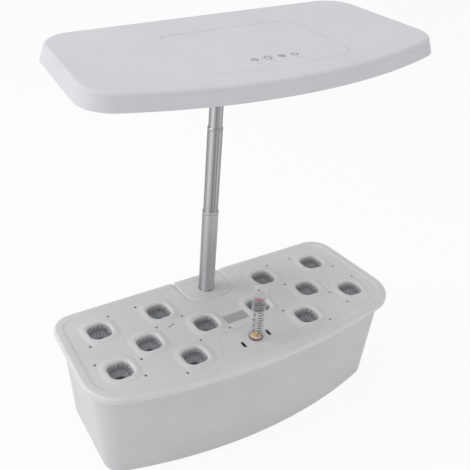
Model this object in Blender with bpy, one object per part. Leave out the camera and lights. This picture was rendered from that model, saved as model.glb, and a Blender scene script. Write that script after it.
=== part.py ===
"""Countertop hydroponic garden: a water tank, a planting deck with twelve pods, and a grow light on a mast.

Metres, +Z up. The part stands on z = 0 and its origin is the centre of its footprint.
The garden's own plan has x = 0 on its mirror plane, y = 0 on the middle row of pods and +y to the back.
"""

import math

import bmesh
import bpy
from mathutils import Matrix, Vector

# Driving sizes, in metres

GAP = 0.0003  # clearance between pieces that touch
CUT = 0.002  # how far every cutter runs past the face it opens

# Deck plan: straight back and sides that widen forwards, bowed front
DECK_HALF_BACK = 0.1935
DECK_HALF_FRONT = 0.2054
DECK_BACK = 0.0875
DECK_SHOULDER = -0.0599
DECK_FRONT = -0.0890
DECK_BACK_RADIUS = 0.0270
DECK_FRONT_RADIUS = 0.0430
DECK_TOP = 0.1270  # the planting field above the table
DECK_PLATE = 0.0025
DECK_RIM_RISE = 0.0010
DECK_RIM_WIDTH = 0.0095
DECK_RIM_SLOPE = 0.0020
DECK_LIP_DEPTH = 0.0070
DECK_LIP_WALL = 0.0022
DECK_LIP_ROUND = 0.0030
DECK_LIP_CHAMFER = 0.0010
LIP_CLEARANCE = 0.0004

# Tank: tapered walls under a flange that the deck's lip hides
TANK_TAPER_BACK = 0.0185  # how far the foot's sides and ends lie inside the deck's
TANK_TAPER_FRONT = 0.0214
TANK_TAPER_REAR = 0.0085
TANK_TAPER_SHOULDER = 0.0129
TANK_TAPER_BOW = 0.0115
TANK_BACK_RADIUS = 0.0230
TANK_FRONT_RADIUS = 0.0200
TANK_WALL = 0.0022
TANK_FLOOR = 0.0025
TANK_BOTTOM_ROUND = 0.0040
TANK_OVERHANG = 0.0090  # the deck's edge outside the wall's top
TANK_FLANGE = 0.0025
TANK_FILLET = 0.0105

# Feet
FOOT_DROP = 0.0015
FOOT_THICKNESS = 0.0030
FOOT_RADIUS = 0.0080
FOOT_INSET_SIDE = 0.0285
FOOT_INSET_BACK = 0.0260
FOOT_INSET_FRONT = 0.0325

# Pods: six a side, placed by shares of the deck's half width beside them and of its depth
POD_HALF = 0.0130
POD_ROUND = 0.0094
POD_DISH_HALF = 0.0180
POD_DISH_DEPTH = 0.0034
POD_COLLAR_WALL = 0.0016
POD_COLLAR_DEPTH = 0.0140
POD_LEDGE_DEPTH = 0.0062
POD_LEDGE = 0.0018
POD_PLACE_SHARES = (
    ("outer_back", 0.7614, 0.2493, -1),
    ("outer_front", 0.7808, -0.1445, 1),
    ("middle", 0.5505, 0.0000, -1),
    ("inner_back", 0.3778, 0.2550, 1),
    ("inner", 0.1824, 0.0000, 1),
    ("inner_front", 0.3783, -0.2436, -1),
)
VENT_RADIUS = 0.0015
VENT_OFFSET = 0.0200

# Baskets
BASKET_RIM_THICKNESS = 0.0016
BASKET_WALL = 0.0011
BASKET_DEPTH = 0.0460
BASKET_FOOT_HALF = 0.0086
BASKET_FOOT_ROUND = 0.0082
BASKET_WINDOW_WIDTH = 0.0050
BASKET_WINDOW_TOP = 0.0160
BASKET_WINDOW_FOOT = 0.0070
BASKET_DRAIN_HALF = 0.0026

# Filling lid at the front, with the level gauge standing on it
LID_HALF_BACK = 0.0340
LID_HALF_FRONT = 0.0550
LID_MARGIN = 0.0175  # from the deck's front edge
LID_BOW = 0.0035
LID_DEPTH = 0.0455
LID_RADIUS = 0.0060
LID_THICKNESS = 0.0020
LID_LEDGE = 0.0030
LID_CLEARANCE = 0.0004
CHUTE_WALL = 0.0018
CHUTE_DEPTH = 0.0120
LID_SLOT_X = 0.0185
LID_SLOT_INSET = 0.0210
LID_SLOT_WIDTH = 0.0030
LID_SLOT_LENGTH = 0.0095
LID_GUIDE_RADIUS = 0.0048
LID_GUIDE_DEPTH = 0.0110

GAUGE_INSET = 0.0230  # from the lid's front edge
GAUGE_RING_RADIUS = 0.0098
GAUGE_RING_HEIGHT = 0.0022
GAUGE_RADIUS = 0.0088
GAUGE_WALL = 0.0011
GAUGE_HEIGHT = 0.0700
GAUGE_DOME = 0.0050
SLEEVE_RADIUS = 0.0074
SLEEVE_WALL = 0.0005
SLEEVE_DROP = 0.0080  # its top below the foot of the tube's dome

FLOAT_STEM_RADIUS = 0.0016
FLOAT_RADIUS = 0.0130
FLOAT_HEIGHT = 0.0140
FLOAT_HANG = 0.0640  # stem length from the deck's field down to the float
FLOAT_EDGE = 0.0020
MARKER_RADIUS = 0.0066
MARKER_HEIGHT = 0.0036
STEM_CLEARANCE = 0.0006

# Mast: foot block let into the back of the deck, three telescoping tubes
MAST_INSET = 0.0271  # from the deck's back edge
ISLAND_HALF = 0.0325
ISLAND_DEPTH = 0.0490
ISLAND_RADIUS = 0.0200
ISLAND_SEAM = 0.0004
ISLAND_SHOULDER_WIDTH = 0.0030
ISLAND_SHOULDER_DEPTH = 0.0018
SOCKET_WALL = 0.0020
SOCKET_DEPTH = 0.0300
SOCKET_FLOOR = 0.0030
LUG_X = 0.0240
LUG_INSET = 0.0315
POST_RADIUS = 0.0050
POST_BORE = 0.0032
POST_CROWN = 0.0030
LUG_DEPTH = 0.0120
PILOT_DEPTH = 0.0070
SCREW_RADIUS = 0.0012
SCREW_HEAD_RADIUS = 0.0026
SCREW_HEAD_HEIGHT = 0.0014

TUBE_WALL = 0.0005
LOWER_RADIUS = 0.0095
MIDDLE_RADIUS = 0.0086
UPPER_RADIUS = 0.00775
FLUTE_DEPTH = 0.0010
FLUTE_HALF_WIDTH = 0.0018
COLLAR_HEIGHT = 0.0045
LOWER_TOP = 0.1105  # tube tops above the deck's field
MIDDLE_TOP = 0.2155
TUBE_OVERLAP = 0.0130
GLIDE_WALL = 0.0012
GLIDE_HEIGHT = 0.0060

# Hood
HOOD_HALF_BACK = 0.1855
HOOD_HALF_FRONT = 0.2016
HOOD_BACK = 0.1040
HOOD_SHOULDER = -0.0520
HOOD_FRONT = -0.0915
HOOD_BACK_RADIUS = 0.0390
HOOD_FRONT_RADIUS = 0.0370
HOOD_LIFT = 0.3110  # lower edge above the deck's field
HOOD_HEIGHT = 0.0160
HOOD_WALL = 0.0020
HOOD_DRAFT = 0.0040
HOOD_EDGE = 0.0040
TRAY_THICKNESS = 0.0016
TRAY_RECESS = 0.0020
TRAY_MARGIN = 0.0004
WINDOW_INSET_SIDE = 0.0510  # from the hood's edges
WINDOW_INSET_BACK = 0.0730
WINDOW_INSET_FRONT = 0.0375
WINDOW_ROUND = 0.0080
BOARD_MARGIN = 0.0050
BOARD_THICKNESS = 0.0016
LED_SIZE = 0.0035
LED_HEIGHT = 0.0007
LED_COLUMNS = 8
LED_ROWS = 4
PANEL_HALF_BACK = 0.0780
PANEL_HALF_FRONT = 0.0800
PANEL_BACK = 0.0520
PANEL_SHOULDER = -0.0520
PANEL_FRONT = -0.0610
PANEL_RADIUS = 0.0100
PANEL_THICKNESS = 0.0008
CONTROL_HALF = 0.0400
CONTROL_BACK = -0.0200
CONTROL_FRONT = -0.0500
CONTROL_ROUND = 0.0012
HEAD_WALL = 0.0030
HEAD_DROP = 0.0120
HEAD_FLANGE = 0.0060
HEAD_FLANGE_THICKNESS = 0.0024
TUBE_SEAT = 0.0040
JACK_X = 0.0500
JACK_HALF = 0.0045
JACK_LENGTH = 0.0120
JACK_BORE_RADIUS = 0.0028
JACK_PIN_RADIUS = 0.0009
JACK_MOUTH = 0.0035
JACK_FLOOR = 0.0020
JACK_PIN_SHARE = 0.8
HOOD_SCREW_INSET_SIDE = 0.0340
HOOD_SCREW_INSET_BACK = 0.0430
HOOD_SCREW_INSET_FRONT = 0.0485
HOOD_SCREW_LENGTH = 0.0070
BOSS_RADIUS = 0.0036

# Pump on the tank's floor
PUMP_X = -0.0600
PUMP_Y = -0.0080
PUMP_HALF = 0.0210
PUMP_LENGTH = 0.0300
PUMP_HEIGHT = 0.0380
PUMP_ROUND = 0.0070
PUMP_CHAMBER_RADIUS = 0.0125
PUMP_CHAMBER_DEPTH = 0.0120
PUMP_AXIS_HEIGHT = 0.0170
PUMP_FOOT_RADIUS = 0.0050
PUMP_FOOT_HEIGHT = 0.0040
PUMP_FOOT_INSET = 0.0080
PUMP_COVER_THICKNESS = 0.0020
PUMP_SLOT_WIDTH = 0.0022
PUMP_SLOT_STEP = 0.0050
PUMP_SLOT_HALF = 0.0090
PUMP_SLOTS = 4
NOZZLE_RADIUS = 0.0060
NOZZLE_BORE = 0.0040
NOZZLE_HEIGHT = 0.0120
NOZZLE_BARB = 0.0008
NOZZLE_LEAD = 0.0024
IMPELLER_RADIUS = 0.0105
IMPELLER_HUB_RADIUS = 0.0030
IMPELLER_BLADE = 0.0014
IMPELLER_BLADES = 4
IMPELLER_LENGTH = 0.0090
IMPELLER_SHAFT_RADIUS = 0.0015
IMPELLER_SHAFT = 0.0040

# Sizes and places that follow
TANK_HALF_BACK = DECK_HALF_BACK - TANK_TAPER_BACK
TANK_HALF_FRONT = DECK_HALF_FRONT - TANK_TAPER_FRONT
TANK_BACK = DECK_BACK - TANK_TAPER_REAR
TANK_SHOULDER = DECK_SHOULDER + TANK_TAPER_SHOULDER
TANK_FRONT = DECK_FRONT + TANK_TAPER_BOW
FOOT_X = (TANK_HALF_BACK + TANK_HALF_FRONT) / 2 - FOOT_INSET_SIDE
FOOT_BACK_Y = TANK_BACK - FOOT_INSET_BACK
FOOT_FRONT_Y = TANK_FRONT + FOOT_INSET_FRONT
LID_FRONT = DECK_FRONT + LID_MARGIN
LID_SHOULDER = LID_FRONT + LID_BOW
LID_BACK = LID_FRONT + LID_DEPTH
SLEEVE_HEIGHT = GAUGE_HEIGHT - GAUGE_DOME - SLEEVE_DROP
LID_SLOT_Y = LID_FRONT + LID_SLOT_INSET
GAUGE_Y = LID_FRONT + GAUGE_INSET
MAST_Y = DECK_BACK - MAST_INSET
ISLAND_FRONT = DECK_BACK - ISLAND_DEPTH
LUG_Y = DECK_BACK - LUG_INSET
WINDOW_HALF = HOOD_HALF_BACK - WINDOW_INSET_SIDE
WINDOW_BACK = HOOD_BACK - WINDOW_INSET_BACK
WINDOW_FRONT = HOOD_FRONT + WINDOW_INSET_FRONT
HOOD_SCREW_X = (HOOD_HALF_BACK + HOOD_HALF_FRONT) / 2 - HOOD_SCREW_INSET_SIDE
HOOD_SCREW_BACK_Y = HOOD_BACK - HOOD_SCREW_INSET_BACK
HOOD_SCREW_FRONT_Y = HOOD_FRONT + HOOD_SCREW_INSET_FRONT
TANK_UNDER = FOOT_DROP
PLATE_UNDER = DECK_TOP - DECK_PLATE
HOOD_UNDER = DECK_TOP + HOOD_LIFT
HOOD_TOP = HOOD_UNDER + HOOD_HEIGHT
SOCKET_SEAT = DECK_TOP - SOCKET_DEPTH
HOOD_CEILING = HOOD_TOP - HOOD_WALL
TRAY_UNDER = HOOD_UNDER + TRAY_RECESS
TRAY_TOP = TRAY_UNDER + TRAY_THICKNESS
JACK_Z = TRAY_TOP + GAP + JACK_HALF
PLAN_CENTRE_Y = (HOOD_BACK + min(HOOD_FRONT, DECK_FRONT)) / 2

# Fineness of curves
CORNER_STEPS = 4
BOW_STEPS = 7
ROUND_STEPS = 20
TUBE_STEPS = 20
POD_STEPS = 2
POST_STEPS = 12
SMALL_STEPS = 8
VENT_STEPS = 6
FILLET_STEPS = 3
DOME_STEPS = 3

# Shares that shape small forms
EDGE_SHARE = 0.3
SLOT_ROUND_SHARE = 0.4
WINDOW_START_SHARE = 0.25
DOME_SHARE = 0.97
DRAIN_ROUND_SHARE = 0.9
MARKER_RIM_SHARE = 0.6
SCREW_CROWN_SHARE = 0.6
MARKER_CROWN_SHARE = 0.6


SIDES = (("left", -1), ("right", 1))
CREASE = math.radians(30)  # sharper edges than this stay sharp


# Outlines

def circle(radius, steps=ROUND_STEPS, centre=(0, 0)):
    angles = [2 * math.pi * i / steps for i in range(steps)]
    return [(centre[0] + radius * math.cos(angle), centre[1] + radius * math.sin(angle)) for angle in angles]


def arc(centre, radius, start, end, steps):
    return [
        (
            centre[0] + radius * math.cos(start + (end - start) * i / steps),
            centre[1] + radius * math.sin(start + (end - start) * i / steps),
        )
        for i in range(steps + 1)
    ]


def rounded_rectangle(half_x, half_y, radius, centre=(0, 0), steps=POD_STEPS):
    points = []
    for quarter, (sx, sy) in enumerate(((1, 1), (-1, 1), (-1, -1), (1, -1))):
        corner = (centre[0] + sx * (half_x - radius), centre[1] + sy * (half_y - radius))
        points += arc(corner, radius, quarter * math.pi / 2, (quarter + 1) * math.pi / 2, steps)
    return points


def bowed_plan(half_back, half_front, back, shoulder, front, back_radius, front_radius):
    """Anticlockwise outline with a straight back, straight sides and a front that bows out as one arc."""
    rise = shoulder - front
    bow = (half_front ** 2 + rise ** 2) / (2 * rise)
    bow_centre = Vector((0, front + bow))
    side = Vector((half_back - half_front, back - shoulder)).normalized()
    inward = Vector((-side.y, side.x))
    start = Vector((half_front, shoulder)) + inward * front_radius
    # The front corner's centre is its radius inside both the side and the bow
    offset = start - bow_centre
    along = offset.dot(side)
    reach = math.sqrt(along ** 2 - offset.length_squared + (bow - front_radius) ** 2)
    roots = (-along + reach, -along - reach)
    corner = start + side * min(roots, key=abs)
    on_bow = (corner - bow_centre).normalized()
    bow_end = math.atan2(on_bow.y, on_bow.x)
    side_angle = math.atan2(-inward.y, -inward.x)
    slope = math.tan((math.pi / 2 - side_angle) / 2)
    back_x = half_back - back_radius * slope
    back_corner = (back_x, back - back_radius)
    right = arc(bow_centre, bow, -math.pi / 2, bow_end, BOW_STEPS)
    right += arc(corner, front_radius, bow_end, side_angle, CORNER_STEPS)[1:]
    right += arc(back_corner, back_radius, side_angle, math.pi / 2, CORNER_STEPS)
    left = [(-x, y) for x, y in reversed(right[1:])]
    return right + left


def inset(points, depth):
    """The outline moved inwards by depth, corner for corner."""
    moved = []
    count = len(points)
    for i, (x, y) in enumerate(points):
        before = Vector(points[i]) - Vector(points[i - 1])
        after = Vector(points[(i + 1) % count]) - Vector(points[i])
        first = Vector((-before.y, before.x)).normalized()
        second = Vector((-after.y, after.x)).normalized()
        step = (first + second) * (depth / (1 + first.dot(second)))
        moved.append((x + step.x, y + step.y))
    return moved


# Solids

def loft(name, rings, location=(0, 0, 0), closed=False):
    """A solid through rings of (outline, height), capped at both ends or closed on itself."""
    bm = bmesh.new()
    loops = [[bm.verts.new((x, y, z)) for x, y in outline] for outline, z in rings]
    pairs = list(zip(loops, loops[1:]))
    if closed:
        pairs.append((loops[-1], loops[0]))
    for low, high in pairs:
        for i in range(len(low)):
            j = (i + 1) % len(low)
            bm.faces.new((low[i], low[j], high[j], high[i]))
    if not closed:
        bm.faces.new(list(reversed(loops[0])))
        bm.faces.new(loops[-1])
    bmesh.ops.recalc_face_normals(bm, faces=bm.faces)
    mesh = bpy.data.meshes.new(name)
    bm.to_mesh(mesh)
    bm.free()
    made = bpy.data.objects.new(name, mesh)
    bpy.context.scene.collection.objects.link(made)
    made.location = location
    return made


def prism(name, outline, low, high, location=(0, 0, 0)):
    return loft(name, [(outline, low), (outline, high)], location)


def turned(name, profile, location=(0, 0, 0), steps=ROUND_STEPS):
    """A solid turned about the vertical, from (radius, height) points that run from foot to head."""
    return loft(name, [(circle(radius, steps), z) for radius, z in profile], location)


def combine(target, tool, operation):
    """Applies a Boolean to the target and removes the tool."""
    bpy.context.view_layer.update()
    modifier = target.modifiers.new(operation.lower(), "BOOLEAN")
    modifier.operation = operation
    modifier.object = tool
    graph = bpy.context.evaluated_depsgraph_get()
    mesh = bpy.data.meshes.new_from_object(target.evaluated_get(graph))
    target.modifiers.clear()
    old = target.data
    target.data = mesh
    mesh.name = target.name
    bpy.data.meshes.remove(old)
    bpy.data.objects.remove(tool)


def cut(target, *tools):
    for tool in tools:
        combine(target, tool, "DIFFERENCE")


def join(target, *tools):
    for tool in tools:
        combine(target, tool, "UNION")


def keep(target, tool):
    combine(target, tool, "INTERSECT")


def gather(name, pieces):
    """One object that holds several separate solids."""
    bm = bmesh.new()
    bpy.context.view_layer.update()
    for piece in pieces:
        first = len(bm.verts)
        bm.from_mesh(piece.data)
        bm.verts.ensure_lookup_table()
        bmesh.ops.transform(bm, matrix=piece.matrix_world, verts=bm.verts[first:])
    mesh = bpy.data.meshes.new(name)
    bm.to_mesh(mesh)
    bm.free()
    for piece in pieces:
        bpy.data.objects.remove(piece)
    made = bpy.data.objects.new(name, mesh)
    bpy.context.scene.collection.objects.link(made)
    return made


def lay(piece, about_x=0, about_y=0, about_z=0, to=(0, 0, 0)):
    """Turns a piece's mesh and sets it at a place."""
    turn = Matrix.Rotation(about_z, 4, "Z") @ Matrix.Rotation(about_y, 4, "Y")
    turn @= Matrix.Rotation(about_x, 4, "X")
    piece.data.transform(Matrix.Translation(to) @ turn)
    return piece


# Finishes

def finish(piece, colour, roughness, metallic=0.0, alpha=1.0, smooth=True):
    name = f"{colour[0]:.2f}_{colour[1]:.2f}_{colour[2]:.2f}_{roughness:.2f}_{metallic:.1f}_{alpha:.1f}"
    material = bpy.data.materials.get(name)
    if material is None:
        material = bpy.data.materials.new(name)
        material.use_nodes = True
        shader = material.node_tree.nodes["Principled BSDF"]
        shader.inputs["Base Color"].default_value = (*colour, 1)
        shader.inputs["Roughness"].default_value = roughness
        shader.inputs["Metallic"].default_value = metallic
        shader.inputs["Alpha"].default_value = alpha
    piece.data.materials.clear()
    piece.data.materials.append(material)
    if smooth:
        piece.data.shade_smooth()
        piece.data.set_sharp_from_angle(angle=CREASE)
    return piece


SHELL = (0.62, 0.62, 0.64)
LAVENDER = (0.60, 0.59, 0.64)
FROSTED = (0.70, 0.71, 0.72)
SILVER = (0.62, 0.62, 0.64)
BLACK = (0.02, 0.02, 0.022)
RUBBER = (0.10, 0.10, 0.10)
ORANGE = (0.85, 0.38, 0.04)
WHITE = (0.80, 0.80, 0.80)
GREEN = (0.03, 0.16, 0.07)


# Shared plans

def deck_plan():
    return bowed_plan(
        DECK_HALF_BACK, DECK_HALF_FRONT, DECK_BACK, DECK_SHOULDER, DECK_FRONT,
        DECK_BACK_RADIUS, DECK_FRONT_RADIUS,
    )


def tank_plan():
    return bowed_plan(
        TANK_HALF_BACK, TANK_HALF_FRONT, TANK_BACK, TANK_SHOULDER, TANK_FRONT,
        TANK_BACK_RADIUS, TANK_FRONT_RADIUS,
    )


def lid_plan():
    return bowed_plan(
        LID_HALF_BACK, LID_HALF_FRONT, LID_BACK, LID_SHOULDER, LID_FRONT, LID_RADIUS, LID_RADIUS
    )


def hood_plan():
    return bowed_plan(
        HOOD_HALF_BACK, HOOD_HALF_FRONT, HOOD_BACK, HOOD_SHOULDER, HOOD_FRONT,
        HOOD_BACK_RADIUS, HOOD_FRONT_RADIUS,
    )


def panel_plan():
    return bowed_plan(
        PANEL_HALF_BACK, PANEL_HALF_FRONT, PANEL_BACK, PANEL_SHOULDER, PANEL_FRONT,
        PANEL_RADIUS, PANEL_RADIUS,
    )


def island_plan(grow=0.0):
    """The mast foot's outline: rounded in front, running out past the back of the deck."""
    half = ISLAND_HALF + grow
    radius = ISLAND_RADIUS + grow
    front = ISLAND_FRONT - grow
    far = DECK_BACK + CUT
    points = arc((-half + radius, front + radius), radius, math.pi, 1.5 * math.pi, CORNER_STEPS)
    points += arc((half - radius, front + radius), radius, 1.5 * math.pi, 2 * math.pi, CORNER_STEPS)
    return points + [(half, far), (-half, far)]


def deck_half(y):
    """The deck's half width at a distance in front of or behind the middle row."""
    share = (y - DECK_SHOULDER) / (DECK_BACK - DECK_SHOULDER)
    return DECK_HALF_FRONT + (DECK_HALF_BACK - DECK_HALF_FRONT) * share


def pod_places():
    """Name, x, y and the slant of the two vents beside each pod."""
    depth = DECK_BACK - DECK_FRONT
    places = []
    for name, x_share, y_share, slant in POD_PLACE_SHARES:
        y = y_share * depth
        x = x_share * deck_half(y)
        places.append((f"left_{name}", -x, y, -slant))
        places.append((f"right_{name}", x, y, slant))
    return places


def plate(name):
    """The deck's plate with its raised rim and hanging lip, before anything is cut in it."""
    plan = deck_plan()
    rim = DECK_TOP + DECK_RIM_RISE
    lip = DECK_TOP - DECK_LIP_DEPTH
    return loft(name, [
        (inset(plan, DECK_LIP_WALL), PLATE_UNDER),
        (inset(plan, DECK_LIP_WALL), lip),
        (inset(plan, DECK_LIP_CHAMFER / 2), lip),
        (plan, lip + DECK_LIP_CHAMFER),
        (plan, rim - DECK_LIP_ROUND),
        (inset(plan, DECK_LIP_ROUND * EDGE_SHARE), rim - DECK_LIP_ROUND * EDGE_SHARE),
        (inset(plan, DECK_LIP_ROUND), rim),
        (inset(plan, DECK_RIM_WIDTH), rim),
        (inset(plan, DECK_RIM_WIDTH + DECK_RIM_SLOPE), DECK_TOP),
    ])


# Base

def make_tank():
    rim = deck_plan()
    foot = tank_plan()
    flange_edge = DECK_LIP_WALL + LIP_CLEARANCE
    flange_top = PLATE_UNDER - GAP
    flange_under = flange_top - TANK_FLANGE
    wall_top = flange_under - TANK_FILLET
    reach = TANK_OVERHANG - flange_edge
    rings = [
        (inset(foot, TANK_BOTTOM_ROUND), TANK_UNDER),
        (inset(foot, TANK_BOTTOM_ROUND * EDGE_SHARE), TANK_UNDER + TANK_BOTTOM_ROUND * EDGE_SHARE),
        (foot, TANK_UNDER + TANK_BOTTOM_ROUND),
    ]
    for step in range(FILLET_STEPS + 1):
        angle = step / FILLET_STEPS * math.pi / 2
        margin = flange_edge + reach * math.cos(angle)
        rings.append((inset(rim, margin), wall_top + TANK_FILLET * math.sin(angle)))
    inner_top = inset(rim, TANK_OVERHANG + TANK_WALL)
    inner_foot = inset(foot, TANK_WALL)
    floor = TANK_UNDER + TANK_FLOOR
    rings += [
        (inset(rim, flange_edge), flange_top),
        (inner_top, flange_top),
        (inner_top, wall_top),
        (inner_foot, floor + TANK_BOTTOM_ROUND),
        (inset(inner_foot, TANK_BOTTOM_ROUND), floor),
    ]
    tank = loft("tank", rings)
    post_top = PLATE_UNDER - LUG_DEPTH - GAP
    crown = post_top - POST_CROWN
    for _, x in SIDES:
        place = (x * LUG_X, LUG_Y, 0)
        hole = SCREW_RADIUS + GAP
        post = [(POST_RADIUS, floor - TANK_FLOOR / 2), (POST_RADIUS, post_top)]
        join(tank, turned("post", post, place, POST_STEPS))
        cut(
            tank,
            turned("post_bore", [(POST_BORE, TANK_UNDER - CUT), (POST_BORE, crown)], place, POST_STEPS),
            turned("post_hole", [(hole, crown - CUT), (hole, post_top + CUT)], place, SMALL_STEPS),
        )
    for _, place in foot_places():
        pocket = [(FOOT_RADIUS + GAP, TANK_UNDER - CUT), (FOOT_RADIUS + GAP, FOOT_THICKNESS + GAP)]
        cut(tank, turned("pocket", pocket, place, POST_STEPS))
    return finish(tank, SHELL, 0.45)


def four_places(x, back_y, front_y):
    """Name and place of the four corners that pieces such as feet and screws stand on."""
    sides = (("left", -x), ("right", x))
    ends = (("back", back_y), ("front", front_y))
    return [(f"{side}_{end}", (at_x, at_y, 0)) for side, at_x in sides for end, at_y in ends]


def foot_places():
    return four_places(FOOT_X, FOOT_BACK_Y, FOOT_FRONT_Y)


def make_feet():
    chamfer = FOOT_THICKNESS * EDGE_SHARE
    profile = [(FOOT_RADIUS - chamfer, 0), (FOOT_RADIUS, chamfer), (FOOT_RADIUS, FOOT_THICKNESS)]
    feet = [turned(f"rubber_foot_{name}", profile, place, POST_STEPS) for name, place in foot_places()]
    return [finish(foot, RUBBER, 0.8) for foot in feet]


# Deck

def pod_outline(half, corner):
    return rounded_rectangle(half, half, corner)


def cut_well(deck, x, y):
    """A collar below the plate, its bore with a ledge for the basket's rim, and the soft dish around it."""
    grow = POD_DISH_HALF - POD_HALF
    collar = prism(
        "collar", pod_outline(POD_HALF + POD_COLLAR_WALL, POD_ROUND + POD_COLLAR_WALL),
        -POD_COLLAR_DEPTH, -DECK_PLATE / 2, (x, y, DECK_TOP),
    )
    join(deck, collar)
    narrow = pod_outline(POD_HALF - POD_LEDGE, POD_ROUND - POD_LEDGE)
    wide = pod_outline(POD_HALF, POD_ROUND)
    rings = [
        (narrow, -POD_COLLAR_DEPTH - CUT),
        (narrow, -POD_LEDGE_DEPTH),
        (wide, -POD_LEDGE_DEPTH),
        (wide, -POD_DISH_DEPTH),
        (pod_outline(POD_DISH_HALF, POD_ROUND + grow), 0),
        (pod_outline(POD_DISH_HALF, POD_ROUND + grow), CUT),
    ]
    cut(deck, loft("well", rings, (x, y, DECK_TOP)))


def vent_places():
    """Two vents on a diagonal of each pod; neighbours that would crowd one another share a vent."""
    places = []
    for _, x, y, slant in pod_places():
        for side in (-1, 1):
            spot = Vector((x + side * VENT_OFFSET, y + side * slant * VENT_OFFSET))
            if all((spot - other).length > VENT_OFFSET / 2 for other in places):
                places.append(spot)
    return places


def make_deck():
    deck = plate("planting_deck")
    for _, x, y, _ in pod_places():
        cut_well(deck, x, y)
    lid = lid_plan()
    ledge = DECK_TOP - LID_THICKNESS - GAP
    join(
        deck,
        prism("ledge", inset(lid, -CHUTE_WALL), ledge - CHUTE_WALL, DECK_TOP - DECK_PLATE / 2),
        prism("chute", inset(lid, LID_LEDGE - CHUTE_WALL), DECK_TOP - CHUTE_DEPTH, ledge - CHUTE_WALL / 2),
    )
    cut(
        deck,
        prism("recess", inset(lid, -LID_CLEARANCE), ledge, DECK_TOP + CUT),
        prism("mouth", inset(lid, LID_LEDGE), DECK_TOP - CHUTE_DEPTH - CUT, ledge + CUT),
    )
    vent = [(VENT_RADIUS, PLATE_UNDER - CUT), (VENT_RADIUS, DECK_TOP + CUT)]
    cut(deck, gather("vents", [turned("vent", vent, (*spot, 0), VENT_STEPS) for spot in vent_places()]))
    seam = island_plan(ISLAND_SEAM)
    shoulder = island_plan(ISLAND_SEAM + ISLAND_SHOULDER_WIDTH)
    cut(deck, loft("island_cut", [
        (seam, DECK_TOP - DECK_LIP_DEPTH - CUT),
        (seam, DECK_TOP - ISLAND_SHOULDER_DEPTH),
        (shoulder, DECK_TOP),
        (shoulder, DECK_TOP + DECK_RIM_RISE + CUT),
    ]))
    return finish(deck, SHELL, 0.42)


# Baskets

def basket_mesh():
    """A round-cornered cup that hangs by its rim, with a window in each side and a drain in its foot."""
    rim_half = POD_HALF - GAP
    rim_round = POD_ROUND - GAP
    rim_under = -POD_LEDGE_DEPTH + GAP
    rim_top = rim_under + BASKET_RIM_THICKNESS
    body_half = POD_HALF - POD_LEDGE - LIP_CLEARANCE
    body_round = POD_ROUND - POD_LEDGE - LIP_CLEARANCE
    wall = BASKET_WALL
    foot = rim_top - BASKET_DEPTH
    outer = pod_outline(body_half, body_round)
    base = pod_outline(BASKET_FOOT_HALF, BASKET_FOOT_ROUND)
    drain = pod_outline(BASKET_DRAIN_HALF, BASKET_DRAIN_HALF * DRAIN_ROUND_SHARE)
    basket = loft("basket", [
        (drain, foot),
        (base, foot),
        (outer, rim_under),
        (pod_outline(rim_half, rim_round), rim_under),
        (pod_outline(rim_half, rim_round), rim_top),
        (inset(outer, wall), rim_top),
        (inset(base, wall), foot + wall),
        (drain, foot + wall),
    ], closed=True)
    half = BASKET_WINDOW_WIDTH / 2
    low = foot + BASKET_WINDOW_FOOT
    high = rim_under - BASKET_WINDOW_TOP
    window = [(-half, low), (half, low), (half, high), (-half, high)]
    for quarter in range(4):
        tool = prism("window", window, POD_HALF * WINDOW_START_SHARE, POD_HALF)
        lay(tool, about_x=math.pi / 2)
        lay(tool, about_z=quarter * math.pi / 2)
        cut(basket, tool)
    finish(basket, FROSTED, 0.3, alpha=0.6)
    mesh = basket.data
    bpy.data.objects.remove(basket)
    return mesh


def make_baskets():
    mesh = basket_mesh()
    baskets = []
    for name, x, y, _ in pod_places():
        basket = bpy.data.objects.new(f"basket_{name}", mesh)
        basket.location = (x, y, DECK_TOP)
        bpy.context.scene.collection.objects.link(basket)
        baskets.append(basket)
    return baskets


# Filling lid and level gauge

def make_lid():
    plan = lid_plan()
    under = DECK_TOP - LID_THICKNESS
    chamfer = LID_THICKNESS * EDGE_SHARE
    lid = loft("fill_lid", [(plan, under), (plan, DECK_TOP - chamfer), (inset(plan, chamfer), DECK_TOP)])
    place = (0, GAUGE_Y, 0)
    join(lid, turned("guide", [
        (LID_GUIDE_RADIUS, DECK_TOP - LID_GUIDE_DEPTH), (LID_GUIDE_RADIUS, DECK_TOP - LID_THICKNESS / 2)
    ], place, POST_STEPS))
    bore = FLOAT_STEM_RADIUS + STEM_CLEARANCE
    stem_bore = [(bore, DECK_TOP - LID_GUIDE_DEPTH - CUT), (bore, DECK_TOP + CUT)]
    cut(lid, turned("stem_bore", stem_bore, place, POST_STEPS))
    slot_round = LID_SLOT_WIDTH * SLOT_ROUND_SHARE
    for side in (-1, 1):
        centre = (side * LID_SLOT_X, LID_SLOT_Y)
        slot = rounded_rectangle(LID_SLOT_WIDTH / 2, LID_SLOT_LENGTH / 2, slot_round, centre)
        cut(lid, prism("slot", slot, under - CUT, DECK_TOP + CUT))
    return finish(lid, SHELL, 0.42)


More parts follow.
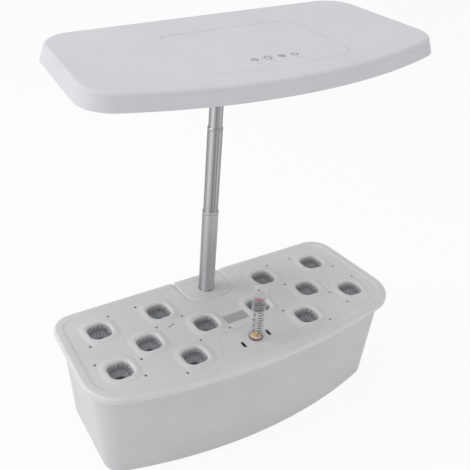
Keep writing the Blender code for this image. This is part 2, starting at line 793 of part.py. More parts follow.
def make_gauge():
    place = (0, GAUGE_Y, DECK_TOP + GAP)
    ring = turned_ring("gauge_ring", [
        (GAUGE_RADIUS + GAP, 0), (GAUGE_RING_RADIUS, 0), (GAUGE_RING_RADIUS, GAUGE_RING_HEIGHT / 2),
        (GAUGE_RADIUS + GAUGE_WALL, GAUGE_RING_HEIGHT), (GAUGE_RADIUS + GAP, GAUGE_RING_HEIGHT),
    ], place)
    finish(ring, BLACK, 0.4)
    dome = [
        (GAUGE_RADIUS * math.cos(a), GAUGE_HEIGHT - GAUGE_DOME + GAUGE_DOME * math.sin(a))
        for a in dome_angles()
    ]
    inner = GAUGE_RADIUS - GAUGE_WALL
    hollow = [
        (inner * math.cos(a), GAUGE_HEIGHT - GAUGE_DOME + (GAUGE_DOME - GAUGE_WALL) * math.sin(a))
        for a in reversed(dome_angles())
    ]
    tube = turned("gauge_tube", hollow + [(inner, 0), (GAUGE_RADIUS, 0)] + dome, place)
    finish(tube, FROSTED, 0.05, alpha=0.25)
    sleeve = turned_ring("gauge_sleeve", [
        (SLEEVE_RADIUS - SLEEVE_WALL, 0), (SLEEVE_RADIUS, 0), (SLEEVE_RADIUS, SLEEVE_HEIGHT),
        (SLEEVE_RADIUS - SLEEVE_WALL, SLEEVE_HEIGHT),
    ], place)
    finish(sleeve, FROSTED, 0.05, alpha=0.3)
    return [ring, tube, sleeve]


def dome_angles():
    return [step / DOME_STEPS * math.pi / 2 * DOME_SHARE for step in range(DOME_STEPS + 1)]


def turned_ring(name, profile, location=(0, 0, 0), steps=ROUND_STEPS):
    """A turned ring whose profile closes on itself round an open middle."""
    return loft(name, [(circle(radius, steps), z) for radius, z in profile], location, closed=True)


def make_float():
    place = (0, GAUGE_Y, DECK_TOP)
    top = -FLOAT_HANG
    foot = top - FLOAT_HEIGHT
    body = turned("float_and_stem", [
        (FLOAT_RADIUS - FLOAT_EDGE, foot), (FLOAT_RADIUS, foot + FLOAT_EDGE),
        (FLOAT_RADIUS, top - FLOAT_EDGE),
        (FLOAT_RADIUS - FLOAT_EDGE, top), (FLOAT_STEM_RADIUS, top), (FLOAT_STEM_RADIUS, 0),
    ], place, POST_STEPS)
    finish(body, WHITE, 0.5)
    marker = turned("float_marker", [
        (MARKER_RADIUS, GAP), (MARKER_RADIUS, GAP + MARKER_HEIGHT * MARKER_RIM_SHARE),
        (MARKER_RADIUS * MARKER_CROWN_SHARE, GAP + MARKER_HEIGHT),
    ], place)
    finish(marker, ORANGE, 0.4)
    return [body, marker]


# Mast

def fluted(radius, half_width):
    """A tube's outline: round, with one V flute down its front."""
    spread = math.asin(half_width / radius)
    points = arc((0, 0), radius, -math.pi / 2 + spread, 1.5 * math.pi - spread, TUBE_STEPS)
    return points + [(0, -radius + FLUTE_DEPTH)]


def tube(name, radius, order, low, high):
    """A fluted tube, open at both ends, its top edge turned in."""
    half_width = FLUTE_HALF_WIDTH + order * GAP
    outer = fluted(radius, half_width)
    inner = fluted(radius - TUBE_WALL, half_width + TUBE_WALL / 2)
    crimped = fluted(radius - TUBE_WALL / 2, half_width + TUBE_WALL / 4)
    made = loft(name, [
        (inner, low), (outer, low), (outer, high - COLLAR_HEIGHT), (crimped, high), (inner, high)
    ], (0, MAST_Y, 0), closed=True)
    return finish(made, SILVER, 0.22, 1.0)


def glide(name, bore_of, order, under):
    """The bush below a sliding tube that rides in the tube around it."""
    half_width = FLUTE_HALF_WIDTH + order * GAP
    outer = fluted(bore_of - TUBE_WALL - GAP, half_width + TUBE_WALL)
    inner = fluted(bore_of - TUBE_WALL - GAP - GLIDE_WALL, half_width + TUBE_WALL)
    made = loft(name, [
        (inner, under - GLIDE_HEIGHT), (outer, under - GLIDE_HEIGHT), (outer, under), (inner, under)
    ], (0, MAST_Y, 0), closed=True)
    return finish(made, WHITE, 0.5)


def make_mast():
    lower = tube("lower_tube", LOWER_RADIUS, 0, SOCKET_SEAT + GAP, DECK_TOP + LOWER_TOP)
    middle_foot = DECK_TOP + LOWER_TOP - TUBE_OVERLAP
    upper_foot = DECK_TOP + MIDDLE_TOP - TUBE_OVERLAP
    middle = tube("middle_tube", MIDDLE_RADIUS, 1, middle_foot, DECK_TOP + MIDDLE_TOP)
    middle_glide = glide("middle_glide", LOWER_RADIUS, 0, middle_foot - GAP)
    upper = tube("upper_tube", UPPER_RADIUS, 2, upper_foot, HOOD_CEILING - TUBE_SEAT)
    upper_glide = glide("upper_glide", MIDDLE_RADIUS, 1, upper_foot - GAP)
    return [lower, middle, middle_glide, upper, upper_glide]


def make_mast_foot():
    foot = plate("mast_foot")
    low = DECK_TOP - DECK_LIP_DEPTH - CUT
    keep(foot, prism("island", island_plan(), low, DECK_TOP + DECK_RIM_RISE + CUT))
    place = (0, MAST_Y, 0)
    bore = LOWER_RADIUS + GAP
    join(foot, turned("socket", [
        (bore + SOCKET_WALL, SOCKET_SEAT - SOCKET_FLOOR), (bore + SOCKET_WALL, DECK_TOP - DECK_PLATE / 2)
    ], place))
    cut(foot, turned("socket_bore", [(bore, SOCKET_SEAT), (bore, DECK_TOP + CUT)], place, TUBE_STEPS))
    for _, x in SIDES:
        lug_place = (x * LUG_X, LUG_Y, 0)
        lug_foot = PLATE_UNDER - LUG_DEPTH
        lug = [(POST_RADIUS, lug_foot), (POST_RADIUS, DECK_TOP - DECK_PLATE / 2)]
        join(foot, turned("lug", lug, lug_place, POST_STEPS))
        pilot = turned("pilot", [
            (SCREW_RADIUS + GAP, lug_foot - CUT), (SCREW_RADIUS + GAP, lug_foot + PILOT_DEPTH)
        ], lug_place, SMALL_STEPS)
        cut(foot, pilot)
    return finish(foot, SHELL, 0.42)


def screw(name, place, length):
    """A pan-head screw driven upwards: its head bears on the level of its place."""
    head = SCREW_HEAD_HEIGHT
    made = turned(name, [
        (SCREW_HEAD_RADIUS * SCREW_CROWN_SHARE, -head), (SCREW_HEAD_RADIUS, -head / 2),
        (SCREW_HEAD_RADIUS, 0), (SCREW_RADIUS, 0), (SCREW_RADIUS, length),
    ], place, SMALL_STEPS)
    return finish(made, SILVER, 0.3, 1.0)


def make_foot_screws():
    bearing = PLATE_UNDER - LUG_DEPTH - GAP - POST_CROWN - GAP
    length = POST_CROWN + PILOT_DEPTH
    return [screw(f"mast_foot_screw_{name}", (x * LUG_X, LUG_Y, bearing), length) for name, x in SIDES]


# Hood

def make_hood_shell():
    plan = hood_plan()
    drafted = inset(plan, HOOD_DRAFT)
    edge = HOOD_EDGE
    shell = loft("hood_shell", [
        (inset(drafted, HOOD_WALL), HOOD_CEILING),
        (inset(plan, HOOD_WALL), HOOD_UNDER),
        (plan, HOOD_UNDER),
        (drafted, HOOD_TOP - edge),
        (inset(drafted, edge * EDGE_SHARE), HOOD_TOP - edge * EDGE_SHARE),
        (inset(drafted, edge), HOOD_TOP),
    ])
    for _, place in hood_screw_places():
        boss = [(BOSS_RADIUS, TRAY_TOP + GAP), (BOSS_RADIUS, HOOD_CEILING + HOOD_WALL / 2)]
        join(shell, turned("boss", boss, place, SMALL_STEPS))
        pilot = turned("pilot", [
            (SCREW_RADIUS + GAP, TRAY_TOP + GAP - CUT), (SCREW_RADIUS + GAP, TRAY_TOP + PILOT_DEPTH)
        ], place, SMALL_STEPS)
        cut(shell, pilot)
    recess = HOOD_TOP - PANEL_THICKNESS - GAP
    cut(shell, prism("panel_recess", inset(panel_plan(), -GAP), recess, HOOD_TOP + CUT))
    mouth = turned("jack_mouth", [(JACK_MOUTH, -JACK_LENGTH), (JACK_MOUTH, JACK_LENGTH)])
    cut(shell, lay(mouth, about_x=math.pi / 2, to=(JACK_X, HOOD_BACK, JACK_Z)))
    return finish(shell, LAVENDER, 0.4)


def hood_screw_places():
    return four_places(HOOD_SCREW_X, HOOD_SCREW_BACK_Y, HOOD_SCREW_FRONT_Y)


def make_hood_tray():
    """The plate that closes the hood from below, open in a window for the lamps."""
    draft = HOOD_DRAFT * (TRAY_TOP - HOOD_UNDER) / (HOOD_CEILING - HOOD_UNDER)
    outline = inset(hood_plan(), HOOD_WALL + draft + TRAY_MARGIN)
    tray = prism("hood_tray", outline, TRAY_UNDER, TRAY_TOP)
    cut(tray, prism("window", window_outline(), TRAY_UNDER - CUT, TRAY_TOP + CUT))
    opening = UPPER_RADIUS + GAP + HEAD_WALL + TRAY_MARGIN
    cut(tray, turned("head_hole", [(opening, TRAY_UNDER - CUT), (opening, TRAY_TOP + CUT)], (0, MAST_Y, 0)))
    for _, place in hood_screw_places():
        hole = SCREW_RADIUS + GAP
        cut(tray, turned("hole", [(hole, TRAY_UNDER - CUT), (hole, TRAY_TOP + CUT)], place, SMALL_STEPS))
    return finish(tray, WHITE, 0.5)


def window_outline(grow=0.0):
    half_y = (WINDOW_BACK - WINDOW_FRONT) / 2
    centre = (0, (WINDOW_BACK + WINDOW_FRONT) / 2)
    return rounded_rectangle(WINDOW_HALF + grow, half_y + grow, WINDOW_ROUND, centre)


def make_led_board():
    """The board above the window, with its rows of diodes facing down."""
    board_under = TRAY_TOP + GAP
    board = prism("led_board", window_outline(BOARD_MARGIN), board_under, board_under + BOARD_THICKNESS)
    half = LED_SIZE / 2
    square = [(-half, -half), (half, -half), (half, half), (-half, half)]
    step_x = 2 * WINDOW_HALF / LED_COLUMNS
    step_y = (WINDOW_BACK - WINDOW_FRONT) / LED_ROWS
    chip_under = board_under - LED_HEIGHT
    chip_top = board_under + BOARD_THICKNESS / 2
    chips = []
    for column in range(LED_COLUMNS):
        for row in range(LED_ROWS):
            x = (column + 0.5) * step_x - WINDOW_HALF
            y = (row + 0.5) * step_y + WINDOW_FRONT
            chips.append(prism("chip", square, chip_under, chip_top, (x, y, 0)))
    join(board, gather("chips", chips))
    return finish(board, WHITE, 0.5, smooth=False)


def make_panel():
    panel = prism("touch_panel", panel_plan(), HOOD_TOP - PANEL_THICKNESS, HOOD_TOP)
    return finish(panel, LAVENDER, 0.3)


def make_control_board():
    top = HOOD_CEILING - GAP
    half_y = (CONTROL_BACK - CONTROL_FRONT) / 2
    centre = (0, (CONTROL_BACK + CONTROL_FRONT) / 2)
    outline = rounded_rectangle(CONTROL_HALF, half_y, CONTROL_ROUND, centre, 1)
    board = prism("control_board", outline, top - BOARD_THICKNESS, top)
    return finish(board, GREEN, 0.5, smooth=False)


def make_mast_head():
    """The socket that carries the hood on the upper tube, with its flange under the shell."""
    radius = UPPER_RADIUS + GAP + HEAD_WALL
    top = HOOD_CEILING - GAP
    head = turned("mast_head", [
        (radius, HOOD_UNDER - HEAD_DROP), (radius, top - HEAD_FLANGE_THICKNESS),
        (radius + HEAD_FLANGE, top - HEAD_FLANGE_THICKNESS), (radius + HEAD_FLANGE, top),
    ], (0, MAST_Y, 0))
    bore = UPPER_RADIUS + GAP
    seat = HOOD_CEILING - TUBE_SEAT + GAP
    head_bore = [(bore, HOOD_UNDER - HEAD_DROP - CUT), (bore, seat)]
    cut(head, turned("head_bore", head_bore, (0, MAST_Y, 0), TUBE_STEPS))
    return finish(head, SHELL, 0.45)


def make_power_socket():
    front = HOOD_BACK - HOOD_DRAFT - HOOD_WALL - GAP
    half = JACK_HALF
    square = rounded_rectangle(half, half, half * EDGE_SHARE, steps=1)
    body = prism("power_socket", square, 0, JACK_LENGTH)
    bore = [(JACK_BORE_RADIUS, JACK_FLOOR), (JACK_BORE_RADIUS, JACK_LENGTH + CUT)]
    cut(body, turned("jack_bore", bore, steps=POST_STEPS))
    pin = [(JACK_PIN_RADIUS, JACK_FLOOR / 2), (JACK_PIN_RADIUS, JACK_LENGTH * JACK_PIN_SHARE)]
    join(body, turned("pin", pin, steps=SMALL_STEPS))
    lay(body, about_x=-math.pi / 2, to=(JACK_X, front - JACK_LENGTH, JACK_Z))
    return finish(body, BLACK, 0.4)


def make_hood_screws():
    bearing = TRAY_UNDER - GAP
    return [
        screw(f"hood_screw_{name}", (place[0], place[1], bearing), HOOD_SCREW_LENGTH)
        for name, place in hood_screw_places()
    ]


# Pump

def make_pump():
    floor = TANK_UNDER + TANK_FLOOR
    foot_top = floor + GAP + PUMP_FOOT_HEIGHT
    under = foot_top + GAP
    centre = (PUMP_X, PUMP_Y)
    outline = rounded_rectangle(PUMP_HALF, PUMP_LENGTH / 2, PUMP_ROUND, centre)
    chamfer = PUMP_ROUND * EDGE_SHARE
    housing = loft("pump_housing", [
        (outline, under), (outline, under + PUMP_HEIGHT - chamfer),
        (inset(outline, chamfer), under + PUMP_HEIGHT),
    ])
    front = PUMP_Y - PUMP_LENGTH / 2
    axis_z = under + PUMP_AXIS_HEIGHT
    back = front + PUMP_CHAMBER_DEPTH
    chamber = turned("chamber", [(PUMP_CHAMBER_RADIUS, -PUMP_CHAMBER_DEPTH), (PUMP_CHAMBER_RADIUS, CUT)])
    cut(housing, lay(chamber, about_x=math.pi / 2, to=(PUMP_X, front, axis_z)))
    bearing = IMPELLER_SHAFT_RADIUS + GAP
    pocket = turned("bearing", [(bearing, -IMPELLER_SHAFT - GAP), (bearing, CUT)], steps=SMALL_STEPS)
    cut(housing, lay(pocket, about_x=math.pi / 2, to=(PUMP_X, back, axis_z)))
    outlet_y = front + PUMP_CHAMBER_DEPTH / 2
    outlet = [(NOZZLE_BORE, axis_z), (NOZZLE_BORE, under + PUMP_HEIGHT + CUT)]
    cut(housing, turned("outlet", outlet, (PUMP_X, outlet_y, 0)))
    finish(housing, BLACK, 0.5)
    nozzle_foot = under + PUMP_HEIGHT + GAP
    nozzle_top = nozzle_foot + NOZZLE_HEIGHT
    neck = NOZZLE_RADIUS - NOZZLE_BARB
    nozzle = turned_ring("pump_nozzle", [
        (NOZZLE_BORE, nozzle_foot), (NOZZLE_RADIUS, nozzle_foot), (NOZZLE_RADIUS, nozzle_foot + NOZZLE_BARB),
        (neck, nozzle_foot + NOZZLE_BARB), (neck, nozzle_top - NOZZLE_LEAD),
        (NOZZLE_RADIUS, nozzle_top - NOZZLE_LEAD),
        (NOZZLE_BORE + NOZZLE_BARB, nozzle_top), (NOZZLE_BORE, nozzle_top),
    ], (PUMP_X, outlet_y, 0), POST_STEPS)
    finish(nozzle, BLACK, 0.5)
    cover = prism("pump_cover", rounded_rectangle(
        PUMP_HALF - PUMP_ROUND, PUMP_HEIGHT / 2 - chamfer, PUMP_COVER_THICKNESS
    ), GAP, GAP + PUMP_COVER_THICKNESS)
    slot_round = PUMP_SLOT_WIDTH * SLOT_ROUND_SHARE
    for index in range(PUMP_SLOTS):
        height = (index - (PUMP_SLOTS - 1) / 2) * PUMP_SLOT_STEP
        slot = rounded_rectangle(PUMP_SLOT_HALF, PUMP_SLOT_WIDTH / 2, slot_round, (0, height), 1)
        cut(cover, prism("slot", slot, GAP - CUT, GAP + PUMP_COVER_THICKNESS + CUT))
    lay(cover, about_x=math.pi / 2, to=(PUMP_X, front, under + PUMP_HEIGHT / 2 - chamfer / 2))
    finish(cover, BLACK, 0.5)
    feet = []
    reach_y = PUMP_LENGTH / 2 - PUMP_FOOT_INSET
    for name, (x, y, _) in four_places(PUMP_HALF - PUMP_FOOT_INSET, reach_y, -reach_y):
        cup = [(PUMP_FOOT_RADIUS, floor + GAP), (PUMP_FOOT_RADIUS * SCREW_CROWN_SHARE, foot_top)]
        foot = turned(f"pump_foot_{name}", cup, (PUMP_X + x, PUMP_Y + y, 0), POST_STEPS)
        feet.append(finish(foot, RUBBER, 0.8))
    impeller = turned("impeller", [
        (IMPELLER_SHAFT_RADIUS, 0), (IMPELLER_SHAFT_RADIUS, IMPELLER_SHAFT),
        (IMPELLER_HUB_RADIUS, IMPELLER_SHAFT),
        (IMPELLER_HUB_RADIUS, IMPELLER_SHAFT + IMPELLER_LENGTH),
    ], steps=SMALL_STEPS)
    half = IMPELLER_BLADE / 2
    for index in range(IMPELLER_BLADES):
        blade = prism("blade", [(0, -half), (IMPELLER_RADIUS, -half), (IMPELLER_RADIUS, half), (0, half)],
                      IMPELLER_SHAFT + half, IMPELLER_SHAFT + IMPELLER_LENGTH - half)
        join(impeller, lay(blade, about_z=2 * math.pi * index / IMPELLER_BLADES))
    lay(impeller, about_x=math.pi / 2)
    impeller.location = (PUMP_X, back - GAP + IMPELLER_SHAFT, axis_z)
    finish(impeller, WHITE, 0.5)
    return [housing, nozzle, cover, *feet, impeller]


# Assembly

def main():
    for old in list(bpy.data.objects):
        bpy.data.objects.remove(old)
    pieces = [make_tank(), *make_feet(), make_deck(), *make_baskets(), make_lid()]
    pieces += [*make_gauge(), *make_float()]
    pieces += [*make_mast(), make_mast_foot(), *make_foot_screws()]
    pieces += [make_hood_shell(), make_hood_tray(), make_led_board(), make_panel(), make_control_board()]
    pieces += [make_mast_head(), make_power_socket(), *make_hood_screws(), *make_pump()]
    garden = bpy.data.objects.new("garden", None)
    garden.location = (0, -PLAN_CENTRE_Y, 0)
    bpy.context.scene.collection.objects.link(garden)
    for piece in pieces:
        piece.parent = garden


main()
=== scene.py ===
import math

import bmesh
import bpy
from mathutils import Matrix, Vector


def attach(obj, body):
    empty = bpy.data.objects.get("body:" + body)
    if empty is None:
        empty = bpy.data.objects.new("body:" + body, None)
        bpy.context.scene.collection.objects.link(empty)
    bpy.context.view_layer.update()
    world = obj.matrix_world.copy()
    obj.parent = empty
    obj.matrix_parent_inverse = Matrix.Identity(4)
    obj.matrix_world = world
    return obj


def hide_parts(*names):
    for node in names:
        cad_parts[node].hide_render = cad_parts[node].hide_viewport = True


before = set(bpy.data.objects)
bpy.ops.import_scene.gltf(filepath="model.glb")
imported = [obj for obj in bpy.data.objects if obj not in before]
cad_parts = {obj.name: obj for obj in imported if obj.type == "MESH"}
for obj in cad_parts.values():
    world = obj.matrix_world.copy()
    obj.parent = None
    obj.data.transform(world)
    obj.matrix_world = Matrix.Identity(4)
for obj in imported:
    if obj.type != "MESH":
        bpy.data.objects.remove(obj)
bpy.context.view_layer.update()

# Main sizes and places in metres

GAP = 0.0003
CUT = 0.0020
SHIFT_Y = -0.00625
DECK_TOP = 0.1270
DECK_PLATE = 0.0025
HOOD_UNDER = 0.4380
HOOD_TOP = 0.4540
TRAY_TOP = 0.4416
MAST_Y = 0.0604
GAUGE_Y = -0.0485
ISLAND_HALF = 0.0325
POST_X = 0.0240
POST_Y = 0.0560
POST_RADIUS = 0.0050
SCREW_WELL = 0.0032
SUNK = 0.0010
POD_HALF = 0.0130
POD_ROUND = 0.0094
POD_LEDGE = -0.0062
PAD = 0.0013
PODS = (
    ("outer_back", 0.15001, 0.04401, -1),
    ("outer_front", 0.15820, -0.02550, 1),
    ("middle", 0.11041, 0.0, -1),
    ("inner_back", 0.07440, 0.04500, 1),
    ("inner", 0.03659, 0.0, 1),
    ("inner_front", 0.07719, -0.04300, -1),
)


# Outlines

def circle(radius, steps=48):
    return arc((0, 0), radius, 0, 2 * math.pi, steps)[:-1]


def arc(centre, radius, start, end, steps):
    angles = [start + (end - start) * i / steps for i in range(steps + 1)]
    return [(centre[0] + radius * math.cos(a), centre[1] + radius * math.sin(a)) for a in angles]


def quarter_turn(steps):
    """Angles from zero to a right angle."""
    return [step / steps * math.pi / 2 for step in range(steps + 1)]


def rounded_rectangle(half_x, half_y, radius, centre=(0, 0), steps=8):
    points = []
    for quarter, (sx, sy) in enumerate(((1, 1), (-1, 1), (-1, -1), (1, -1))):
        corner = (centre[0] + sx * (half_x - radius), centre[1] + sy * (half_y - radius))
        points += arc(corner, radius, quarter * math.pi / 2, (quarter + 1) * math.pi / 2, steps)
    return points


def bowed_plan(half_back, half_front, back, shoulder, front, back_radius, front_radius,
               bow_steps=36, corner_steps=14):
    """A plan with a straight back, slanted sides, round corners and a bowed front."""
    rise = shoulder - front
    bow = (half_front ** 2 + rise ** 2) / (2 * rise)
    bow_centre = Vector((0, front + bow))
    side = Vector((half_back - half_front, back - shoulder)).normalized()
    inward = Vector((-side.y, side.x))
    start = Vector((half_front, shoulder)) + inward * front_radius
    offset = start - bow_centre
    along = offset.dot(side)
    reach = math.sqrt(along ** 2 - offset.length_squared + (bow - front_radius) ** 2)
    corner = start + side * min((-along + reach, -along - reach), key=abs)
    on_bow = (corner - bow_centre).normalized()
    bow_end = math.atan2(on_bow.y, on_bow.x)
    side_angle = math.atan2(-inward.y, -inward.x)
    slope = math.tan((math.pi / 2 - side_angle) / 2)
    back_corner = (half_back - back_radius * slope, back - back_radius)
    right = arc(bow_centre, bow, -math.pi / 2, bow_end, bow_steps)
    right += arc(corner, front_radius, bow_end, side_angle, corner_steps)[1:]
    right += arc(back_corner, back_radius, side_angle, math.pi / 2, corner_steps)
    return right + [(-x, y) for x, y in reversed(right[1:])]


def inset(points, depth):
    """The outline drawn in by depth all round, or grown where depth is below zero."""
    moved = []
    count = len(points)
    for i, (x, y) in enumerate(points):
        before = Vector(points[i]) - Vector(points[i - 1])
        after = Vector(points[(i + 1) % count]) - Vector(points[i])
        first = Vector((-before.y, before.x)).normalized()
        second = Vector((-after.y, after.x)).normalized()
        step = (first + second) * (depth / (1 + first.dot(second)))
        moved.append((x + step.x, y + step.y))
    return moved


def quarter_round(outline, depth, low, high, steps=6):
    """Rings of an outline that turns from upright at low to flat at high, drawn in by depth."""
    return [(inset(outline, depth * (1 - math.cos(angle))), low + (high - low) * math.sin(angle))
            for angle in quarter_turn(steps)]


# Meshes

def link(name, bm, location=(0, 0, 0)):
    bmesh.ops.recalc_face_normals(bm, faces=bm.faces)
    mesh = bpy.data.meshes.new(name)
    bm.to_mesh(mesh)
    bm.free()
    return place_mesh(name, mesh, location)


def place_mesh(name, mesh, location=(0, 0, 0)):
    made = bpy.data.objects.new(name, mesh)
    made.location = location
    bpy.context.scene.collection.objects.link(made)
    return made


def loft(name, rings, location=(0, 0, 0), closed=False):
    """A skin over rings of (outline, height), capped at both ends or closed on itself."""
    bm = bmesh.new()
    loops = [[bm.verts.new((x, y, z)) for x, y in outline] for outline, z in rings]
    pairs = list(zip(loops, loops[1:]))
    if closed:
        pairs.append((loops[-1], loops[0]))
    for low, high in pairs:
        for i in range(len(low)):
            j = (i + 1) % len(low)
            bm.faces.new((low[i], low[j], high[j], high[i]))
    if not closed:
        bm.faces.new(list(reversed(loops[0])))
        bm.faces.new(loops[-1])
    return link(name, bm, location)


def prism(name, outline, low, high, location=(0, 0, 0)):
    return loft(name, [(outline, low), (outline, high)], location)


def turned(name, profile, location=(0, 0, 0), steps=48, closed=False):
    """A turned piece from (radius, height) points."""
    return loft(name, [(circle(radius, steps), z) for radius, z in profile], location, closed)


def mesh_of(piece):
    graph = bpy.context.evaluated_depsgraph_get()
    return bpy.data.meshes.new_from_object(piece.evaluated_get(graph))


def combine(target, tool, operation):
    bpy.context.view_layer.update()
    modifier = target.modifiers.new(operation.lower(), "BOOLEAN")
    modifier.operation = operation
    modifier.object = tool
    mesh = mesh_of(target)
    target.modifiers.clear()
    old = target.data
    target.data = mesh
    bpy.data.meshes.remove(old)
    bpy.data.objects.remove(tool)


def cut(target, *tools):
    for tool in tools:
        combine(target, tool, "DIFFERENCE")


def join(target, *tools):
    for tool in tools:
        combine(target, tool, "UNION")


def gather(name, pieces):
    """One mesh of several pieces that stay separate shells."""
    bm = bmesh.new()
    bpy.context.view_layer.update()
    for piece in pieces:
        first = len(bm.verts)
        bm.from_mesh(piece.data)
        bm.verts.ensure_lookup_table()
        bmesh.ops.transform(bm, matrix=piece.matrix_world, verts=bm.verts[first:])
    for piece in pieces:
        bpy.data.objects.remove(piece)
    return link(name, bm)


def lay(piece, about_x=0, about_z=0, to=(0, 0, 0)):
    """Turns a piece's mesh about X, then Z, and moves it."""
    turn = Matrix.Rotation(about_z, 4, "Z") @ Matrix.Rotation(about_x, 4, "X")
    piece.data.transform(Matrix.Translation(to) @ turn)
    return piece


def ribbon(name, rows):
    """A flat or bent band between two edges, from pairs of points."""
    bm = bmesh.new()
    pairs = [[bm.verts.new(point) for point in row] for row in rows]
    for (a, b), (c, d) in zip(pairs, pairs[1:]):
        bm.faces.new((a, b, d, c))
    return link(name, bm)


# Materials

DRIFT_SCALE = 14.0
SHEEN_SCALE = 55.0
RELIEF = 0.0004
LEAST_ROUGH = 0.02


def linear(*rgb):
    """A colour for a shader, from the usual 0 to 255."""
    return tuple(((c / 255 + 0.055) / 1.055) ** 2.4 for c in rgb)


def add_node(tree, kind, **values):
    """A node with its sockets set; an underscore stands for the blank in a socket's name."""
    node = tree.nodes.new(kind)
    for key, value in values.items():
        node.inputs[key.replace("_", " ")].default_value = value
    return node


def calculated(tree, kind, operation, *sources):
    """What a math node of either kind makes of other nodes' outputs."""
    node = tree.nodes.new(kind)
    node.operation = operation
    sockets = [node.inputs[0], node.inputs["Scale"] if operation == "SCALE" else node.inputs[1]]
    for source, socket in zip(sources, sockets):
        tree.links.new(source, socket)
    return node.outputs[0]


def colour_ramp(tree, stops, factor):
    """A ramp through stops of (place, colour)."""
    ramp = tree.nodes.new("ShaderNodeValToRGB")
    elements = ramp.color_ramp.elements
    for place, _ in stops[1:-1]:
        elements.new(place)
    for element, (place, colour) in zip(elements, stops):
        element.position = place
        element.color = (*colour, 1)
    tree.links.new(factor, ramp.inputs["Fac"])
    return ramp.outputs["Color"]


def map_range(tree, source, **ends):
    node = add_node(tree, "ShaderNodeMapRange", **ends)
    tree.links.new(source, node.inputs["Value"])
    return node.outputs["Result"]


def painted_reflection_bands(tree, tone, split, lines):
    """The colour times painted reflections, as light and dark bands round a tube given as (degrees, tone).
    """
    turn = calculated(tree, "ShaderNodeMath", "ARCTAN2", split.outputs["Y"], split.outputs["X"])
    share = map_range(tree, turn, From_Min=-math.pi, From_Max=math.pi)
    stops = [((angle + 180) / 360, (light, light, light)) for angle, light in lines]
    painted_bands = colour_ramp(tree, stops, share)
    return calculated(tree, "ShaderNodeVectorMath", "MULTIPLY", tone, painted_bands)


def painted_shade_by_height(tree, tone, split, painted_shade):
    """Painted shade: the colour scaled by height, between two pairs of (height, scale)."""
    (high, dark), (low, light) = painted_shade
    depth = map_range(tree, split.outputs["Z"], From_Min=low, From_Max=high, To_Min=light, To_Max=dark)
    return calculated(tree, "ShaderNodeVectorMath", "SCALE", tone, depth)


def moulded(name, colour, rough=0.45, mottle=0.03, grain=1400.0, bump=0.06, metallic=0.0, stretch=(1, 1, 1),
            specular=0.5, rough_swing=0.05, lines=(), painted_shade=(), clear=()):
    """A surface with slow colour drift, fine grain in its bump and an uneven sheen.

    Bands round a tube paint reflections into the colour, and a scale by height paints shade into it.
    clear makes it see-through, by the alpha of a wall seen straight on and of one seen edge on.
    """
    material = bpy.data.materials.new(name)
    material.use_nodes = True
    tree = material.node_tree
    shader = tree.nodes["Principled BSDF"]
    shader.inputs["Metallic"].default_value = metallic
    shader.inputs["Specular IOR Level"].default_value = specular
    where = tree.nodes.new("ShaderNodeTexCoord").outputs["Object"]
    mapping = add_node(tree, "ShaderNodeMapping", Scale=stretch)
    tree.links.new(where, mapping.inputs["Vector"])

    def noise(**values):
        node = add_node(tree, "ShaderNodeTexNoise", **values)
        tree.links.new(mapping.outputs["Vector"], node.inputs["Vector"])
        return node.outputs["Fac"]

    stops = [(0.3, [c * (1 - mottle) for c in colour]), (0.7, [min(1.0, c * (1 + mottle)) for c in colour])]
    tone = colour_ramp(tree, stops, noise(Scale=DRIFT_SCALE, Detail=4.0, Roughness=0.6))
    # Painted reflections as bands round a tube, else painted shade by height, scale the colour.
    if lines or painted_shade:
        split = tree.nodes.new("ShaderNodeSeparateXYZ")
        tree.links.new(where, split.inputs["Vector"])
        tone = painted_reflection_bands(tree, tone, split, lines) if lines else painted_shade_by_height(tree, tone, split, painted_shade)
    tree.links.new(tone, shader.inputs["Base Color"])
    sheen = map_range(tree, noise(Scale=SHEEN_SCALE, Detail=3.0),
                      To_Min=max(LEAST_ROUGH, rough - rough_swing), To_Max=rough + rough_swing)
    tree.links.new(sheen, shader.inputs["Roughness"])
    relief = add_node(tree, "ShaderNodeBump", Strength=bump, Distance=RELIEF)
    tree.links.new(noise(Scale=grain, Detail=2.0), relief.inputs["Height"])
    tree.links.new(relief.outputs["Normal"], shader.inputs["Normal"])
    if clear:
        facing_alpha, edge_alpha = clear
        shader.inputs["Alpha"].default_value = facing_alpha
        facing = add_node(tree, "ShaderNodeLayerWeight", Blend=0.35).outputs["Facing"]
        alpha = map_range(tree, facing, To_Min=facing_alpha, To_Max=edge_alpha)
        tree.links.new(alpha, shader.inputs["Alpha"])
    return material


def drawn_metal(name, colour, rough, metallic, lines):
    """The brushed metal of a drawn tube, with painted reflections as light and dark bands along it."""
    return moulded(name, colour, rough, mottle=0.04, metallic=metallic, grain=600, bump=0.03,
                   stretch=(6, 6, 0.05), lines=lines)


# Painted reflections round the mast's tubes as (degrees, tone): painted highlights and dark bands in the
# metal's colour; the dull set is for the lower tube.
DULL_PAINTED_REFLECTIONS = (
    (-180, 0.42), (-170, 0.52), (-160, 0.70), (-151, 0.96), (-142, 0.99), (-134, 0.89), (-127, 0.72),
    (-119, 0.64), (-111, 0.66), (-104, 0.74), (-95, 0.84), (-86, 0.70), (-76, 0.78), (-63, 0.84),
    (-45, 0.58), (20, 0.74), (80, 0.66), (150, 0.60), (180, 0.42),
)
BRIGHT_PAINTED_REFLECTIONS = (
    (-180, 0.40), (-165, 0.60), (-151, 1.0), (-142, 0.92), (-131, 0.62), (-118, 0.33), (-109, 0.40),
    (-101, 0.84), (-95, 0.34), (-87, 0.40), (-79, 0.72), (-70, 0.48), (-50, 0.42), (-20, 0.54),
    (20, 0.90), (60, 0.47), (105, 0.80), (140, 0.24), (180, 0.40),
)
